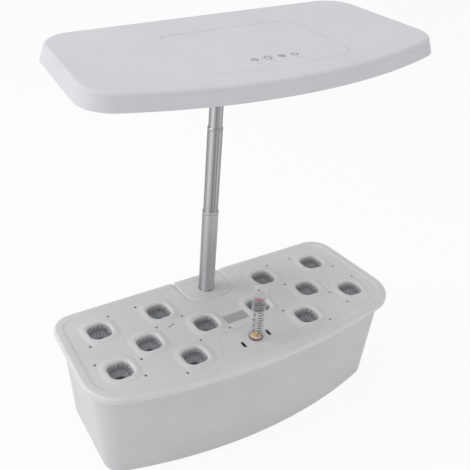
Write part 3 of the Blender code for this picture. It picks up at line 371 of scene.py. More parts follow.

# DECK is painted lighter than HOOD: painted light that makes up for the hood's shade over the deck.
BODY = moulded("body_plastic", linear(209, 209, 212), 0.42, specular=0.3)
DECK = moulded("deck_plastic", linear(221, 221, 223), 0.44, specular=0.25)
HOOD = moulded("hood_plastic", linear(214, 213, 219), 0.50, specular=0.12)
FILM = moulded("panel_film", linear(214, 213, 219), 0.46, grain=2200, bump=0.03, specular=0.12)
MARKS = moulded("printed_marks", linear(104, 102, 114), 0.5)
PLATE = moulded("blank_plate", linear(172, 170, 170), 0.36)
TRAY = moulded("tray_plastic", linear(226, 226, 226), 0.5)
BOARD = moulded("lamp_board", linear(232, 232, 228), 0.45)
PHOSPHOR = moulded("diode_phosphor", linear(238, 214, 120), 0.35, mottle=0.08)
SOLDER_MASK = moulded("control_mask", linear(30, 92, 52), 0.35)
# The lower tube's metal is painted lighter, with softer painted reflections, to make up for the shaded deck
# that it reflects.
LOWER_METAL = drawn_metal("lower_tube_metal", linear(216, 217, 219), 0.40, 0.7, DULL_PAINTED_REFLECTIONS)
METAL = drawn_metal("tube_metal", linear(211, 212, 214), 0.34, 0.75, BRIGHT_PAINTED_REFLECTIONS)
BEAD = moulded("rolled_bead", linear(166, 167, 170), 0.6, mottle=0.05, metallic=0.2, grain=600, bump=0.03)
SCREW = moulded("screw_steel", linear(180, 181, 184), 0.28, metallic=1.0)
GLIDE = moulded("glide_plastic", linear(225, 225, 225), 0.5)
RUBBER = moulded("foot_rubber", linear(60, 60, 62), 0.75, mottle=0.1, bump=0.15)
BLACK = moulded("black_plastic", linear(38, 38, 41), 0.42, mottle=0.12)
PALE = moulded("impeller_plastic", linear(222, 222, 224), 0.4)
# The basket's colour is painted darker near its lip: painted shade from the well's walls above it.
CUP = moulded("basket_plastic", linear(196, 199, 202), 0.13, mottle=0.06, specular=0.8,
              painted_shade=((-0.0055, 0.56), (-0.0115, 1.0)))
CLEAR = moulded("clear_tube", linear(228, 232, 234), 0.04, mottle=0.01, bump=0.01, rough_swing=0.02,
                clear=(0.015, 0.34))
SLEEVE = moulded("scale_film", linear(225, 228, 230), 0.10, mottle=0.02, bump=0.01, rough_swing=0.03,
                 clear=(0.01, 0.12))
INK = moulded("black_ink", linear(18, 19, 24), 0.5)
RED = moulded("red_ring", linear(186, 26, 52), 0.35)
DARK_RED = moulded("float_base", linear(112, 40, 30), 0.4)
ORANGE = moulded("float_orange", linear(240, 172, 14), 0.35, mottle=0.05)
CREAM = moulded("float_cream", linear(250, 218, 176), 0.35, mottle=0.05)
WHITE = moulded("float_white", linear(228, 228, 226), 0.45)


# Finishing

def dress(piece, material, body, replaces=(), smooth=38):
    """Gives a piece its finish and smoothing, sets it in the world and makes it ride."""
    piece.location.y += SHIFT_Y
    piece.data.materials.clear()
    piece.data.materials.append(material)
    if smooth:
        piece.data.shade_smooth()
        piece.data.set_sharp_from_angle(angle=math.radians(smooth))
        modifier = piece.modifiers.new("normals", "WEIGHTED_NORMAL")
        modifier.keep_sharp = True
        modifier.weight = 90
    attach(piece, body)
    for node in replaces:
        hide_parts(node)


def cover(material, *nodes):
    """A better finish on CAD nodes whose shape is right."""
    for node in nodes:
        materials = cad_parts[node].data.materials
        materials.clear()
        materials.append(material)


# Shared plans

def deck_plan():
    return bowed_plan(half_back=0.1935, half_front=0.2054, back=0.0875, shoulder=-0.0599, front=-0.0890,
                      back_radius=0.0270, front_radius=0.0430)


def tank_plan():
    return bowed_plan(half_back=0.1750, half_front=0.1840, back=0.0790, shoulder=-0.0470, front=-0.0775,
                      back_radius=0.0230, front_radius=0.0200)


def lid_plan():
    return bowed_plan(half_back=0.0340, half_front=0.0550, back=-0.0260, shoulder=-0.0680, front=-0.0715,
                      back_radius=0.0060, front_radius=0.0060, bow_steps=12, corner_steps=6)


def hood_plan():
    return bowed_plan(half_back=0.1855, half_front=0.2016, back=0.1040, shoulder=-0.0520, front=-0.0915,
                      back_radius=0.0390, front_radius=0.0370)


def panel_plan():
    return bowed_plan(half_back=0.0780, half_front=0.0800, back=0.0520, shoulder=-0.0520, front=-0.0610,
                      back_radius=0.0100, front_radius=0.0100, bow_steps=16, corner_steps=8)


def island_rings(profile):
    """Rings of the mast island's outline, for pairs of (growth, height from the deck's top)."""
    corner, front_y, past_the_edge = 0.0200, 0.0385, 0.0895
    rings = []
    for grow, height in profile:
        half, radius, front = ISLAND_HALF + grow, corner + grow, front_y - grow
        outline = arc((-half + radius, front + radius), radius, math.pi, 1.5 * math.pi, 12)
        outline += arc((half - radius, front + radius), radius, 1.5 * math.pi, 2 * math.pi, 12)
        rings.append((outline + [(half, past_the_edge), (-half, past_the_edge)], DECK_TOP + height))
    return rings


def notches():
    """Cutters for the small notches where the island's seam meets the back edge."""
    point, mouth, half, below, above = 0.0822, 0.0890, 0.0027, 0.012, 0.004
    wedges = []
    for side in (-1, 1):
        outline = [(side * ISLAND_HALF, point), (side * (ISLAND_HALF + half), mouth),
                   (side * (ISLAND_HALF - half), mouth)]
        wedges.append(prism("notch", outline[::side], DECK_TOP - below, DECK_TOP + above))
    return wedges


def plate(name):
    """The deck's plate with its rolled lip and raised rim."""
    plan = deck_plan()
    wall, lip = 0.0022, DECK_TOP - 0.0070
    lip_edge = ((0.0006, 0), (0.0002, 0.0004), (0, 0.0012))
    rim, roll, flat, slope, margin = 0.0010, 0.0030, 0.0082, 0.0046, 0.0012
    top = DECK_TOP + rim
    rings = [(inset(plan, wall), DECK_TOP - DECK_PLATE), (inset(plan, wall), lip)]
    rings += [(inset(plan, depth), lip + rise) for depth, rise in lip_edge]
    rings += quarter_round(plan, roll, top - roll, top, 7)
    rings.append((inset(plan, flat), top))
    for step in range(1, 11):
        share = step / 10
        rings.append((inset(plan, flat + slope * share), top - rim * (3 * share ** 2 - 2 * share ** 3)))
    rings.append((inset(plan, flat + slope + margin), DECK_TOP))
    return loft(name, rings)


# Planting deck

def pod_places():
    places = []
    for name, x, y, slant in PODS:
        places.append((f"left_{name}", -x, y, -slant))
        places.append((f"right_{name}", x, y, slant))
    return places


def pod_ring(half, round_share=1.0):
    """The outline of a well or of its pad, at a distance from its centre."""
    return rounded_rectangle(half, half, POD_ROUND + round_share * (half - POD_HALF), steps=9)


def collar(x, y):
    """The collar that hangs below the plate round one well."""
    half, radius, bottom, top = 0.0146, 0.0110, -0.0140, -0.0020
    return prism("collar", rounded_rectangle(half, half, radius, steps=9), bottom, top, (x, y, DECK_TOP))


def pad(x, y):
    """The soft raised pad round one well."""
    wide, narrow, crown, round_share = 0.0226, 0.0164, 0.0155, 0.6
    root, low, ease, steps = -0.0012, -0.0001, 0.2, 14
    rings = [(pod_ring(wide, round_share), root), (pod_ring(wide, round_share), low)]
    for step in range(1, steps + 1):
        share = step / steps
        wave = math.sin(2 * math.pi * share) / (2 * math.pi)
        soft = (1 + ease) * share - ease * wave - ease * share ** 2
        rings.append((pod_ring(wide - (wide - narrow) * share, round_share), low + (PAD - low) * soft))
    rings.append((pod_ring(crown, round_share), PAD))
    return loft("pad", rings, (x, y, DECK_TOP))


def well(x, y):
    """The cutter of one well: bore, ledge and rolled edge."""
    bore, bottom, roll = 0.0112, -0.0160, 0.0030
    rings = [(pod_ring(bore), bottom), (pod_ring(bore), POD_LEDGE), (pod_ring(POD_HALF), POD_LEDGE)]
    for angle in quarter_turn(11):
        half = POD_HALF + roll * (1 - math.cos(angle))
        rings.append((pod_ring(half), PAD - roll + roll * math.sin(angle)))
    rings.append((pod_ring(POD_HALF + roll), PAD + CUT))
    return loft("well", rings, (x, y, DECK_TOP))


def open_for_the_lid(deck):
    """The lid's ledge and recess, and the chute under it."""
    plan = lid_plan()
    seam, wall, land, buried = 0.00008, 0.0018, 0.0030, 0.0012
    ledge, chute = DECK_TOP - 0.0023, DECK_TOP - 0.0120
    join(deck, prism("ledge", inset(plan, -wall), ledge - wall, DECK_TOP - buried),
         prism("chute", inset(plan, land - wall), chute, ledge - wall / 2))
    cut(deck, prism("recess", inset(plan, -seam), ledge, DECK_TOP + CUT),
        prism("mouth", inset(plan, land), chute - CUT, ledge + CUT))


def vent_spots():
    """Two places beside each well, less those that a neighbour's vent already serves."""
    reach, least = 0.0200, 0.0100
    spots = []
    for _, x, y, slant in pod_places():
        for side in (-1, 1):
            spot = Vector((x + side * reach, y + side * slant * reach))
            if all((spot - other).length > least for other in spots):
                spots.append(spot)
    return spots


def vents():
    """Cutters for the round vents and for the two short slots on the left."""
    radius, mouth, chamfer, depth = 0.0016, 0.0021, 0.0006, 0.0060
    profile = [(radius, -depth), (radius, -chamfer), (mouth, 0.0), (mouth, CUT)]
    tools = [turned("vent", profile, (*spot, DECK_TOP), 16) for spot in vent_spots()]
    slot_x, slot_y, half_x, half_y, corner, slant_share = -0.0740, 0.0150, 0.0019, 0.0010, 0.00095, 0.4
    for shift in (-0.0024, 0.0024):
        spot = (slot_x + shift, slot_y + shift * slant_share)
        outline = rounded_rectangle(half_x, half_y, corner, spot, 4)
        tools.append(prism("mark", outline, DECK_TOP - depth, DECK_TOP + CUT))
    return gather("vents", tools)


def make_deck():
    deck = plate("deck")
    spots = [(x, y) for _, x, y, _ in pod_places()]
    join(deck, gather("collars", [collar(*spot) for spot in spots]))
    join(deck, gather("pads", [pad(*spot) for spot in spots]))
    cut(deck, gather("wells", [well(*spot) for spot in spots]))
    open_for_the_lid(deck)
    cut(deck, vents())
    seam_groove = ((0.00004, -0.0090), (0.00004, -0.0014), (0.0006, -0.0010), (0.0018, -0.0005),
                   (0.0034, -0.00015), (0.0050, 0.0), (0.0050, 0.0030))
    cut(deck, loft("island_cut", island_rings(seam_groove)))
    cut(deck, *notches())
    dress(deck, DECK, "deck", ["planting_deck"])


# Tank

def make_tank():
    rim, foot = deck_plan(), tank_plan()
    lift, foot_round, wall, floor = 0.0015, 0.0040, 0.0022, 0.0040
    edge, flange, flange_width, flare, flare_height = 0.0026, 0.0025, 0.0112, 0.0064, 0.0105
    inner_foot, inner_rim = inset(foot, wall), inset(rim, flange_width)
    top = DECK_TOP - DECK_PLATE - GAP
    wall_top = top - flange - flare_height
    rings = [(inset(foot, foot_round * (1 - math.sin(a))), lift + foot_round * (1 - math.cos(a)))
             for a in quarter_turn(5)]
    rings += [(inset(rim, edge + flare * math.cos(a)), wall_top + flare_height * math.sin(a))
              for a in quarter_turn(8)]
    rings += [(inset(rim, edge), top), (inner_rim, top), (inner_rim, wall_top)]
    inner_round = ((0, 0.0040), (0.0012, 0.0012), (0.0040, 0))
    rings += [(inset(inner_foot, depth), floor + rise) for depth, rise in inner_round]
    tank = loft("tank_shell", rings)
    posts = []
    for side in (-1, 1):
        place = (side * POST_X, POST_Y, 0)
        cut(tank, turned("screw_well", [(SCREW_WELL, -SUNK), (SCREW_WELL, floor + SUNK)], place, 24))
        posts.append(post(place, floor))
    dress(gather("tank_posts", posts), BODY, "tank")
    dress(tank, BODY, "tank", ["tank"])


def post(place, floor):
    """A hollow post on the tank's floor, open below for a screw that goes through its top."""
    top, shoulder, chamfer, pilot, roof = 0.11248, 0.1120, 0.0004, 0.0014, 0.1095
    profile = [(POST_RADIUS, floor - SUNK), (POST_RADIUS, shoulder), (POST_RADIUS - chamfer, top),
               (pilot, top), (pilot, roof), (SCREW_WELL, roof), (SCREW_WELL, floor - SUNK)]
    return turned("post", profile, place, 24, closed=True)


# Baskets

def ribbed(half, radius, rib):
    """A rounded square with shallow upright ribs inside it."""
    count, ribs = 160, 16
    outline = rounded_rectangle(half, half, radius, steps=24)
    lengths = [0.0]
    for (x, y), (u, v) in zip(outline, outline[1:] + outline[:1]):
        lengths.append(lengths[-1] + math.hypot(u - x, v - y))
    points = []
    for index in range(count):
        along = lengths[-1] * index / count
        at = max(i for i, length in enumerate(lengths[:-1]) if length <= along)
        share = (along - lengths[at]) / max(1e-9, lengths[at + 1] - lengths[at])
        (x, y), (u, v) = outline[at], outline[(at + 1) % len(outline)]
        depth = rib * max(0.0, math.cos(2 * math.pi * ribs * index / count)) ** 2
        x, y = x + (u - x) * share, y + (v - y) * share
        reach = math.hypot(x, y)
        points.append((x * (1 - depth / reach), y * (1 - depth / reach)))
    return points


def basket_mesh():
    """A cup with a thin lip, a ribbed funnel mouth, a seat and four windows above its foot."""
    low, flange, lip, lip_edge = -0.0503, POD_LEDGE + GAP, -0.0034, 0.0002
    mouth, narrowing, straight, rib, steps = 0.0124, 0.0024, 0.0038, 0.0019, 8
    funnel_top, funnel_bottom = lip - 0.0001, -0.0096
    outside = [(0.0026, 0.0023, low + 0.0006), (0.0074, 0.0070, low), (0.0083, 0.0079, low + 0.0005),
               (0.0086, 0.0082, low + 0.0014), (0.0108, 0.0072, flange), (0.0127, 0.0091, flange),
               (0.0127, 0.0091, lip - lip_edge), (0.0126, 0.0090, lip)]
    rings = [(ribbed(half, radius, 0), height) for half, radius, height in outside]
    for step in range(steps + 1):
        share = step / steps
        half = mouth - narrowing * share
        height = funnel_top + (funnel_bottom - funnel_top) * share
        rings.append((ribbed(half, half - straight, rib * min(1, 3 * share)), height))
    inside = [(0.0096, 0.0058, 0.0014, -0.0102), (0.0068, 0.0040, 0.0004, -0.0150),
              (0.0064, 0.0036, 0, -0.0158), (0.0066, 0.0040, 0, -0.0165), (0.0088, 0.0060, 0, -0.0171),
              (0.0075, 0.0071, 0, low + 0.0022), (0.0063, 0.0060, 0, low + 0.0013),
              (0.0026, 0.0023, 0, low + 0.0022)]
    rings += [(ribbed(half, radius, depth), height) for half, radius, depth, height in inside]
    basket = loft("basket", rings, closed=True)
    side, tip, sill, shoulder, top = 0.0024, 0.0012, -0.0430, -0.0225, -0.0208
    window = [(-side, sill), (side, sill), (side, shoulder), (tip, top), (-tip, top), (-side, shoulder)]
    for quarter in range(4):
        tool = lay(prism("window", window, POD_HALF / 4, POD_HALF), about_x=math.pi / 2)
        cut(basket, lay(tool, about_z=quarter * math.pi / 2))
    mesh = basket.data
    bpy.data.objects.remove(basket)
    return mesh


def make_baskets():
    mesh = basket_mesh()
    for name, x, y, _ in pod_places():
        basket = place_mesh(f"cup_{name}", mesh.copy(), (x, y, DECK_TOP))
        dress(basket, CUP, f"basket_{name}_cup", [f"basket_{name}"])


# Filling lid and gauge

def make_lid():
    plan = lid_plan()
    thick, edge = 0.0020, 0.0006
    place = (0, GAUGE_Y, DECK_TOP)
    guide, guide_bottom, guide_top, bore = 0.0048, -0.0110, -0.0010, 0.0022
    lid = loft("lid", [(plan, DECK_TOP - thick), *quarter_round(plan, edge, DECK_TOP - edge, DECK_TOP, 3)])
    join(lid, turned("guide", [(guide, guide_bottom), (guide, guide_top)], place, 32))
    cut(lid, turned("stem_bore", [(bore, guide_bottom - CUT), (bore, CUT)], place, 24))
    slot = rounded_rectangle(half_x=0.0021, half_y=0.0050, radius=0.0004, steps=3)
    for x, y in ((-0.0191, -0.0530), (0.0177, -0.0480)):
        cut(lid, prism("slot", slot, DECK_TOP - 2 * thick, DECK_TOP + CUT, (x, y, 0)))
    dress(lid, DECK, "lid", ["fill_lid"])


def make_blank_plate():
    """A bare plate where the real deck has its label."""
    outline = rounded_rectangle(half_x=0.0145, half_y=0.0070, radius=0.0008, steps=3)
    bottom, edge_top, top, chamfer = -0.0002, 0.00025, 0.0004, 0.0002
    rings = [(outline, bottom), (outline, edge_top), (inset(outline, chamfer), top)]
    dress(loft("label_plate", rings, (0, -0.0065, DECK_TOP)), PLATE, "deck")


def bent_text(name, body, size, radius, angle, height):
    """Plain figures bent round the scale, facing outwards at an angle."""
    boldness_share = 0.03
    curve = bpy.data.curves.new(name, "FONT")
    curve.body = body
    curve.size = size
    curve.offset = size * boldness_share
    curve.align_x = "CENTER"
    curve.align_y = "CENTER"
    words = bpy.data.objects.new(name, curve)
    bpy.context.scene.collection.objects.link(words)
    mesh = mesh_of(words)
    bpy.data.objects.remove(words)
    for vertex in mesh.vertices:
        turn = angle + vertex.co.x / radius
        vertex.co = Vector((radius * math.sin(turn), -radius * math.cos(turn), height + vertex.co.y))
    return place_mesh(name, mesh)


def strip(name, radius, start, end, low, high, steps=8):
    """A thin printed band on a cylinder between two angles."""
    turns = [start + (end - start) * i / steps for i in range(steps + 1)]
    return ribbon(name, [[(radius * math.sin(turn), -radius * math.cos(turn), z) for z in (low, high)]
                         for turn in turns])


def make_gauge_tube(place):
    """The clear tapered tube with its domed end, the dark ring inside its foot and its collar."""
    radius, top, wall, height, dome = 0.0088, 0.0078, 0.0008, 0.0700, 0.0066
    closed_share = 0.98
    angles = [angle * closed_share for angle in quarter_turn(10)]
    outer = [(top * math.cos(a), height - dome + dome * math.sin(a)) for a in angles]
    hollow = [((top - wall) * math.cos(a), height - dome + (dome - wall) * math.sin(a))
              for a in reversed(angles)]
    tube = turned("clear_gauge", hollow + [(radius - wall, 0), (radius, 0)] + outer, place, 56)
    dress(tube, CLEAR, "lid", ["gauge_tube"])
    foot = [(0.0071, 0.0001), (0.0079, 0.0001), (0.0079, 0.0010), (0.0071, 0.0014)]
    dress(turned("tube_foot", foot, place, 56, closed=True), DARK_RED, "lid")
    round_the_tube = radius + GAP
    profile = [(round_the_tube, 0), (0.0097, 0), (0.0096, 0.0003), (0.0092, 0.0006),
               (round_the_tube, 0.0007)]
    ring = turned("gauge_collar", profile, place, 56, closed=True)
    dress(ring, DECK, "lid", ["gauge_ring"])


def make_scale(place):
    """The film inside the tube with plain ticks, the figures 1 to 6 and two red lines."""
    inside, outside, height, printed = 0.0064, 0.0067, 0.0598, 0.00677
    film = turned("scale_sleeve", [(inside, 0), (outside, 0), (outside, height), (inside, height)], place,
                  closed=True)
    dress(film, SLEEVE, "lid", ["gauge_sleeve"])
    facing = math.radians(-35)
    first_tick, tick_step, tick_height = 0.0056, 0.0036, 0.0013
    tick_start, long_tick, short_tick = facing + 0.10, facing + 1.20, facing + 0.78
    first_figure, figure_size, figure_angle = 0.0133, 0.0052, facing - 0.62
    marks = []
    for index in range(13):
        low = first_tick + index * tick_step
        end = short_tick if index % 2 else long_tick
        marks.append(strip("tick", printed, tick_start, end, low, low + tick_height))
    for index in range(6):
        height = first_figure + index * 2 * tick_step
        marks.append(bent_text("figure", str(index + 1), figure_size, printed, figure_angle, height))
    dress(lay(gather("scale_marks", marks), to=place), INK, "lid", smooth=0)
    lines = [strip("line", printed, facing - reach, facing + reach, low, high, 20)
             for reach, low, high in ((1.15, 0.0556, 0.0572), (0.95, 0.0590, 0.0595))]
    dress(lay(gather("full_lines", lines), to=place), RED, "lid", smooth=0)


def make_marker(place):
    """The coloured marker that the float lifts: a dark foot, a pale body and an orange cap."""
    base = ((0.0059, 0), (0.0062, 0.0003), (0.0062, 0.0012), (0.0060, 0.0014))
    body = ((0.0060, 0.0014), (0.0061, 0.0018), (0.0057, 0.0026), (0.0045, 0.0031))
    cap = ((0.0029, 0.0030), (0.0028, 0.0036), (0.0020, 0.0040), (0.0006, 0.0042))
    dress(turned("marker_base", base, place), DARK_RED, "gauge_float", ["float_marker"])
    dress(turned("marker_body", body, place), CREAM, "gauge_float")
    dress(turned("marker_cap", cap, place), ORANGE, "gauge_float")


def make_gauge():
    place = (0, GAUGE_Y, DECK_TOP + GAP)
    make_gauge_tube(place)
    make_scale(place)
    make_marker(place)


# Mast

def fluted(radius, half_width, steps=72):
    """A circle with a shallow groove down its front."""
    spread = math.asin(half_width / radius)
    points = arc((0, 0), radius, -math.pi / 2 + spread, 1.5 * math.pi - spread, steps)
    groove_depth, width_shares = 0.0010, (0.3, 0.6, 0.85, 1.0, 1.15, 1.4, 1.7)
    floor, edge = -radius + groove_depth, -radius * math.cos(spread)
    for share in width_shares:
        depth = 1 - (1 - share) ** 2
        points.append((-half_width + half_width * share, edge + (floor - edge) * depth))
    return points


def tube(name, node, body, metal, radius, order, low, high, next_radius=0):
    """One tube of the mast; where a thinner one slides in it, its mouth is drawn in over a bead."""
    half_width, wall, place = 0.0018 + order * GAP, 0.0005, (0, MAST_Y, 0)
    outer, inner = fluted(radius, half_width), fluted(radius - wall, half_width)
    rings = [(inner, low), (outer, low)]
    if next_radius:
        neck_gap, mouth_gap, neck_edge, proud = 0.00045, 0.0002, 0.0001, 0.0002
        shoulder, neck_height, mouth_depth, taper = 0.0010, 0.0006, 0.0010, 0.0016
        bead_top, bead_height, bead_edge = 0.0018, 0.0018, 0.0004
        neck = fluted(next_radius + neck_gap, half_width)
        mouth = fluted(next_radius + mouth_gap, half_width)
        rings += [(outer, high - shoulder), (neck, high - neck_height), (inset(neck, neck_edge), high),
                  (mouth, high), (mouth, high - mouth_depth), (inner, high - mouth_depth - taper)]
        crest, trough = fluted(radius + proud, half_width), fluted(radius - proud, half_width)
        top = high - bead_top
        bottom = top - bead_height
        bead = [(trough, bottom), (crest, bottom + bead_edge), (crest, top - bead_edge), (trough, top)]
        dress(loft(f"{name}_bead", bead, place, closed=True), BEAD, body)
    else:
        rings += [(outer, high), (inner, high)]
    dress(loft(name, rings, place, closed=True), metal, body, [node])


def make_mast_foot():
    """The island let into the deck, with its socket for the lower tube and two lugs on the tank's posts."""
    foot = plate("foot_island")
    seam_round = ((0.0, -0.0090), (0.0, -0.0012), (-0.0006, -0.0008), (-0.0018, -0.0003), (-0.0034, 0.0),
                  (-0.0036, 0.0030))
    combine(foot, loft("island", island_rings(seam_round)), "INTERSECT")
    bore, wall, bottom, bore_bottom, buried = 0.0098, 0.0020, 0.0940, 0.0970, 0.0010
    place = (0, MAST_Y, 0)
    join(foot, turned("socket", [(bore + wall, bottom), (bore + wall, DECK_TOP - buried)], place, 56))
    cut(foot, turned("socket_bore", [(bore, bore_bottom), (bore, DECK_TOP + 2 * CUT)], place, 56))
    cut(foot, *notches())
    lug_bottom, lug_top = 0.1125, 0.1260
    for side in (-1, 1):
        lug = [(POST_RADIUS, lug_bottom), (POST_RADIUS, lug_top)]
        join(foot, turned("lug", lug, (side * POST_X, POST_Y, 0), 24))
    dress(foot, DECK, "tank", ["mast_foot"])


def make_mast():
    lower, middle, upper = 0.0095, 0.0086, 0.00775
    tube("tube_lower", "lower_tube", "tank", LOWER_METAL, lower, 0, 0.0973, 0.2375, next_radius=middle)
    tube("tube_middle", "middle_tube", "middle_mast", METAL, middle, 1, 0.2245, 0.3425, next_radius=upper)
    tube("tube_upper", "upper_tube", "lamp", METAL, upper, 2, 0.3295, 0.4480)
    make_mast_foot()


# Hood

def make_shell():
    plan = hood_plan()
    draft, wall, edge, chamfer, chamfer_rise = 0.0040, 0.0020, 0.0040, 0.0004, 0.0005
    ceiling = HOOD_TOP - wall
    drafted = inset(plan, draft)
    rings = [(inset(drafted, wall), ceiling), (inset(plan, wall), HOOD_UNDER),
             (inset(plan, chamfer), HOOD_UNDER), (plan, HOOD_UNDER + chamfer_rise)]
    rings += quarter_round(drafted, edge, HOOD_TOP - edge, HOOD_TOP, 8)
    shell = loft("hood", rings)
    boss, boss_x, boss_back, boss_front, buried = 0.0036, 0.15955, 0.061, -0.043, 0.001
    profile = [(boss, TRAY_TOP + GAP), (boss, ceiling + buried)]
    join(shell, gather("bosses", [turned("boss", profile, (x, y, 0), 20)
                                  for x in (-boss_x, boss_x) for y in (boss_back, boss_front)]))
    seam, recess = 0.0002, 0.0011
    cut(shell, prism("panel_recess", inset(panel_plan(), -seam), HOOD_TOP - recess, HOOD_TOP + CUT))
    jack_radius, jack_reach, jack_place = 0.0035, 0.012, (0.050, 0.104, 0.4464)
    mouth = turned("jack_mouth", [(jack_radius, -jack_reach), (jack_radius, jack_reach)], steps=32)
    cut(shell, lay(mouth, about_x=math.pi / 2, to=jack_place))
    dress(shell, HOOD, "lamp", ["hood_shell"])


def make_panel():
    """The touch film, let into the hood's top, with a fine chamfer."""
    panel = panel_plan()
    thick, chamfer, chamfer_depth = 0.0008, 0.0003, 0.00025
    rings = [(panel, HOOD_TOP - thick), (panel, HOOD_TOP - chamfer_depth), (inset(panel, chamfer), HOOD_TOP)]
    dress(loft("key_panel", rings), FILM, "lamp", ["touch_panel"])


def flat_ring(outer, inner, gap=0.0, steps=24):
    """A flat printed ring, open over a part of its turn when gap is given."""
    turns = [math.pi / 2 + gap / 2 + (2 * math.pi - gap) * i / steps for i in range(steps + 1)]
    return ribbon("mark", [[(r * math.cos(a), r * math.sin(a), 0) for r in (inner, outer)] for a in turns])


def bar(x, y, width, depth, turn=0.0):
    """A flat printed bar about a point."""
    c, s = math.cos(turn), math.sin(turn)
    return ribbon("mark", [[(x + a * c - b * s, y + a * s + b * c, 0) for a in (-width / 2, width / 2)]
                           for b in (-depth / 2, depth / 2)])


def make_keys():
    """Four plain key marks, each over two short dashes: a clock, a sun, a ring in a ring and a switch."""
    outer, inner, line, short = 0.0022, 0.0016, 0.0004, 0.0010
    ray_reach, dash_x, dash_y, above, grow = 0.0031, 0.0009, -0.0050, 0.00004, 1.7
    turns = [math.pi / 4 * k for k in range(8)]
    clock = [flat_ring(outer, inner), bar(0, 0.0004, line, 0.0018), bar(0.0005, -0.0005, 0.0012, line)]
    sun = [flat_ring(outer, inner)]
    sun += [bar(ray_reach * math.cos(turn), ray_reach * math.sin(turn), short, line, turn) for turn in turns]
    rings = [flat_ring(outer, inner), flat_ring(0.0010, 0.0005)]
    switch = [flat_ring(outer, inner, gap=0.9), bar(0, 0.0018, line, 0.0020)]
    places = ((-0.0240, -0.0366), (-0.0096, -0.0366), (0.0056, -0.0377), (0.0202, -0.0385))
    marks = []
    for sign, (x, y) in zip((clock, sun, rings, switch), places):
        parts = sign + [bar(side * dash_x, dash_y, short, line) for side in (-1, 1)]
        for part in parts:
            part.data.transform(Matrix.Translation((x, y, HOOD_TOP + above)) @ Matrix.Scale(grow, 4))
        marks += parts
    dress(gather("key_marks", marks), MARKS, "lamp", smooth=0)


def make_lamp_board():
    """The white board above the window, with its diodes in rows facing down."""
    half_x, half_y, radius, centre_y = 0.1400, 0.0480, 0.0080, -0.0130
    under, thick = TRAY_TOP + GAP, 0.0016
    outline = rounded_rectangle(half_x, half_y, radius, (0, centre_y), 6)
    dress(prism("board", outline, under, under + thick), BOARD, "lamp", ["led_board"])
    columns, rows, field_x, field_y = 14, 5, 0.270, 0.086
    case, case_round, case_depth = 0.0017, 0.0003, 0.0006
    lens, lens_round, lens_proud, lens_sunk = 0.0012, 0.0006, 0.0001, 0.00005
    cases, lenses = [], []
    for column in range(columns):
        for row in range(rows):
            spot = ((column + 0.5) * field_x / columns - field_x / 2,
                    (row + 0.5) * field_y / rows - field_y / 2 + centre_y)
            square = rounded_rectangle(case, case, case_round, spot, 2)
            cases.append(prism("case", square, under - case_depth, under))
            disc = rounded_rectangle(lens, lens, lens_round, spot, 3)
            low = under - case_depth - lens_proud
            lenses.append(prism("lens", disc, low, low + lens_proud + lens_sunk))
    dress(gather("diode_cases", cases), BOARD, "lamp")
    dress(gather("diode_lenses", lenses), PHOSPHOR, "lamp")


def make_hood():
    make_shell()
    make_panel()
    make_keys()
    make_lamp_board()


def cover_the_rest():
    """Finishes on the CAD nodes that carry over as they are."""
    cover(WHITE, "float_and_stem")
    cover(GLIDE, "middle_glide", "upper_glide")
    cover(TRAY, "hood_tray")
    cover(BODY, "mast_head")
    cover(SOLDER_MASK, "control_board")
    cover(BLACK, "power_socket", "pump_housing", "pump_nozzle", "pump_cover")
    cover(PALE, "impeller")
    cover(SCREW, *[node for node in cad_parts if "screw" in node])
    cover(RUBBER, *[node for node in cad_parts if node.startswith(("rubber_foot_", "pump_foot_"))])


# Stage

def seen_directly(tree):
    """One for a camera ray and for what gloss or glass shows, else zero."""
    path = tree.nodes.new("ShaderNodeLightPath")
    either = path.outputs["Is Camera Ray"]
    for kind in ("Is Glossy Ray", "Is Transmission Ray"):
        either = calculated(tree, "ShaderNodeMath", "MAXIMUM", either, path.outputs[kind])
    return either


def mixed(tree, share, first, second, surface):
    """Leads a mix of two shaders, by share, to an output's surface."""
    mix = tree.nodes.new("ShaderNodeMixShader")
    tree.links.new(share, mix.inputs["Fac"])
    tree.links.new(first, mix.inputs[1])
    tree.links.new(second, mix.inputs[2])
    tree.links.new(mix.outputs["Shader"], surface)


def make_floor():
    """A pale floor that takes soft shade and shows most of its own white."""
    half, below, own_white = 4.0, 0.0002, 0.92
    bm = bmesh.new()
    bmesh.ops.create_grid(bm, x_segments=1, y_segments=1, size=half)
    floor = link("floor", bm)
    floor.location.z = -below
    material = bpy.data.materials.new("floor")
    material.use_nodes = True
    tree = material.node_tree
    shader = tree.nodes["Principled BSDF"]
    shader.inputs["Base Color"].default_value = (0.86, 0.86, 0.86, 1)
    shader.inputs["Roughness"].default_value = 0.9
    shader.inputs["Specular IOR Level"].default_value = 0.1
    glow = add_node(tree, "ShaderNodeEmission", Strength=1.0)
    share = tree.nodes.new("ShaderNodeMath")
    share.operation = "MULTIPLY"
    share.inputs[1].default_value = own_white
    tree.links.new(seen_directly(tree), share.inputs[0])
    mixed(tree, share.outputs["Value"], shader.outputs["BSDF"], glow.outputs["Emission"],
          tree.nodes["Material Output"].inputs["Surface"])
    floor.data.materials.append(material)


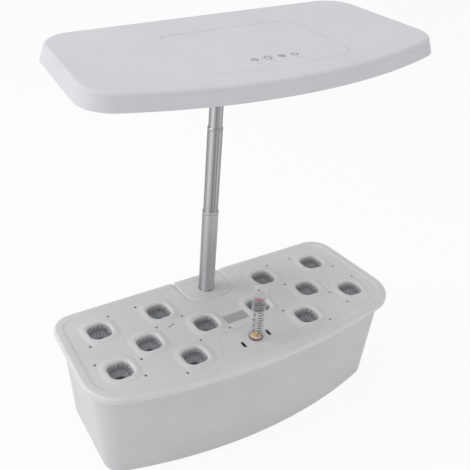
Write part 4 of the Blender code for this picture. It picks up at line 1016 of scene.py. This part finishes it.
def make_world():
    """A white studio that lights the part less than it shows."""
    white, dim = (1, 1, 1, 1), 0.36
    world = bpy.data.worlds.new("studio")
    bpy.context.scene.world = world
    world.use_nodes = True
    tree = world.node_tree
    lit = tree.nodes["Background"]
    lit.inputs["Color"].default_value = white
    lit.inputs["Strength"].default_value = dim
    shown = add_node(tree, "ShaderNodeBackground", Color=white, Strength=1.0)
    mixed(tree, seen_directly(tree), lit.outputs["Background"], shown.outputs["Background"],
          tree.nodes["World Output"].inputs["Surface"])


def make_light(name, place, aim, size, power):
    data = bpy.data.lights.new(name, "AREA")
    data.shape = "DISK"
    data.size = size
    data.energy = power
    lamp = bpy.data.objects.new(name, data)
    lamp.location = place
    lamp.rotation_euler = (Vector(aim) - Vector(place)).to_track_quat("-Z", "Y").to_euler()
    bpy.context.scene.collection.objects.link(lamp)


def make_camera():
    """The photograph's view: turned, tipped and slightly rolled."""
    yaw, pitch, roll = math.radians(-35.2), math.radians(32.0), math.radians(-4.4)
    place = (-0.4381, -0.61955, 0.7072)
    ahead = Vector((-math.sin(yaw) * math.cos(pitch), math.cos(yaw) * math.cos(pitch), -math.sin(pitch)))
    right = Vector((math.cos(yaw), math.sin(yaw), 0))
    down = ahead.cross(right)
    across = math.cos(roll) * right + math.sin(roll) * down
    below = -math.sin(roll) * right + math.cos(roll) * down
    data = bpy.data.cameras.new("camera")
    data.sensor_width = 36.0
    data.lens = 61.57
    camera = bpy.data.objects.new("camera", data)
    turn = Matrix((across, -below, -ahead)).transposed()
    camera.matrix_world = Matrix.Translation(place) @ turn.to_4x4()
    bpy.context.scene.collection.objects.link(camera)
    bpy.context.scene.camera = camera


make_camera()
make_world()
make_floor()
make_light("key", place=(-2.0, 0.8, 0.95), aim=(0, 0, 0.2), size=1.7, power=26)
make_light("fill", place=(0.2, -2.4, 0.4), aim=(0, 0, 0.1), size=1.4, power=14.5)
make_light("top", place=(0.0, 0.1, 2.5), aim=(0, 0, 0.3), size=2.4, power=23)
make_tank()
make_deck()
make_baskets()
make_lid()
make_blank_plate()
make_gauge()
make_mast()
make_hood()
cover_the_rest()

bpy.context.scene.view_settings.view_transform = "Standard"
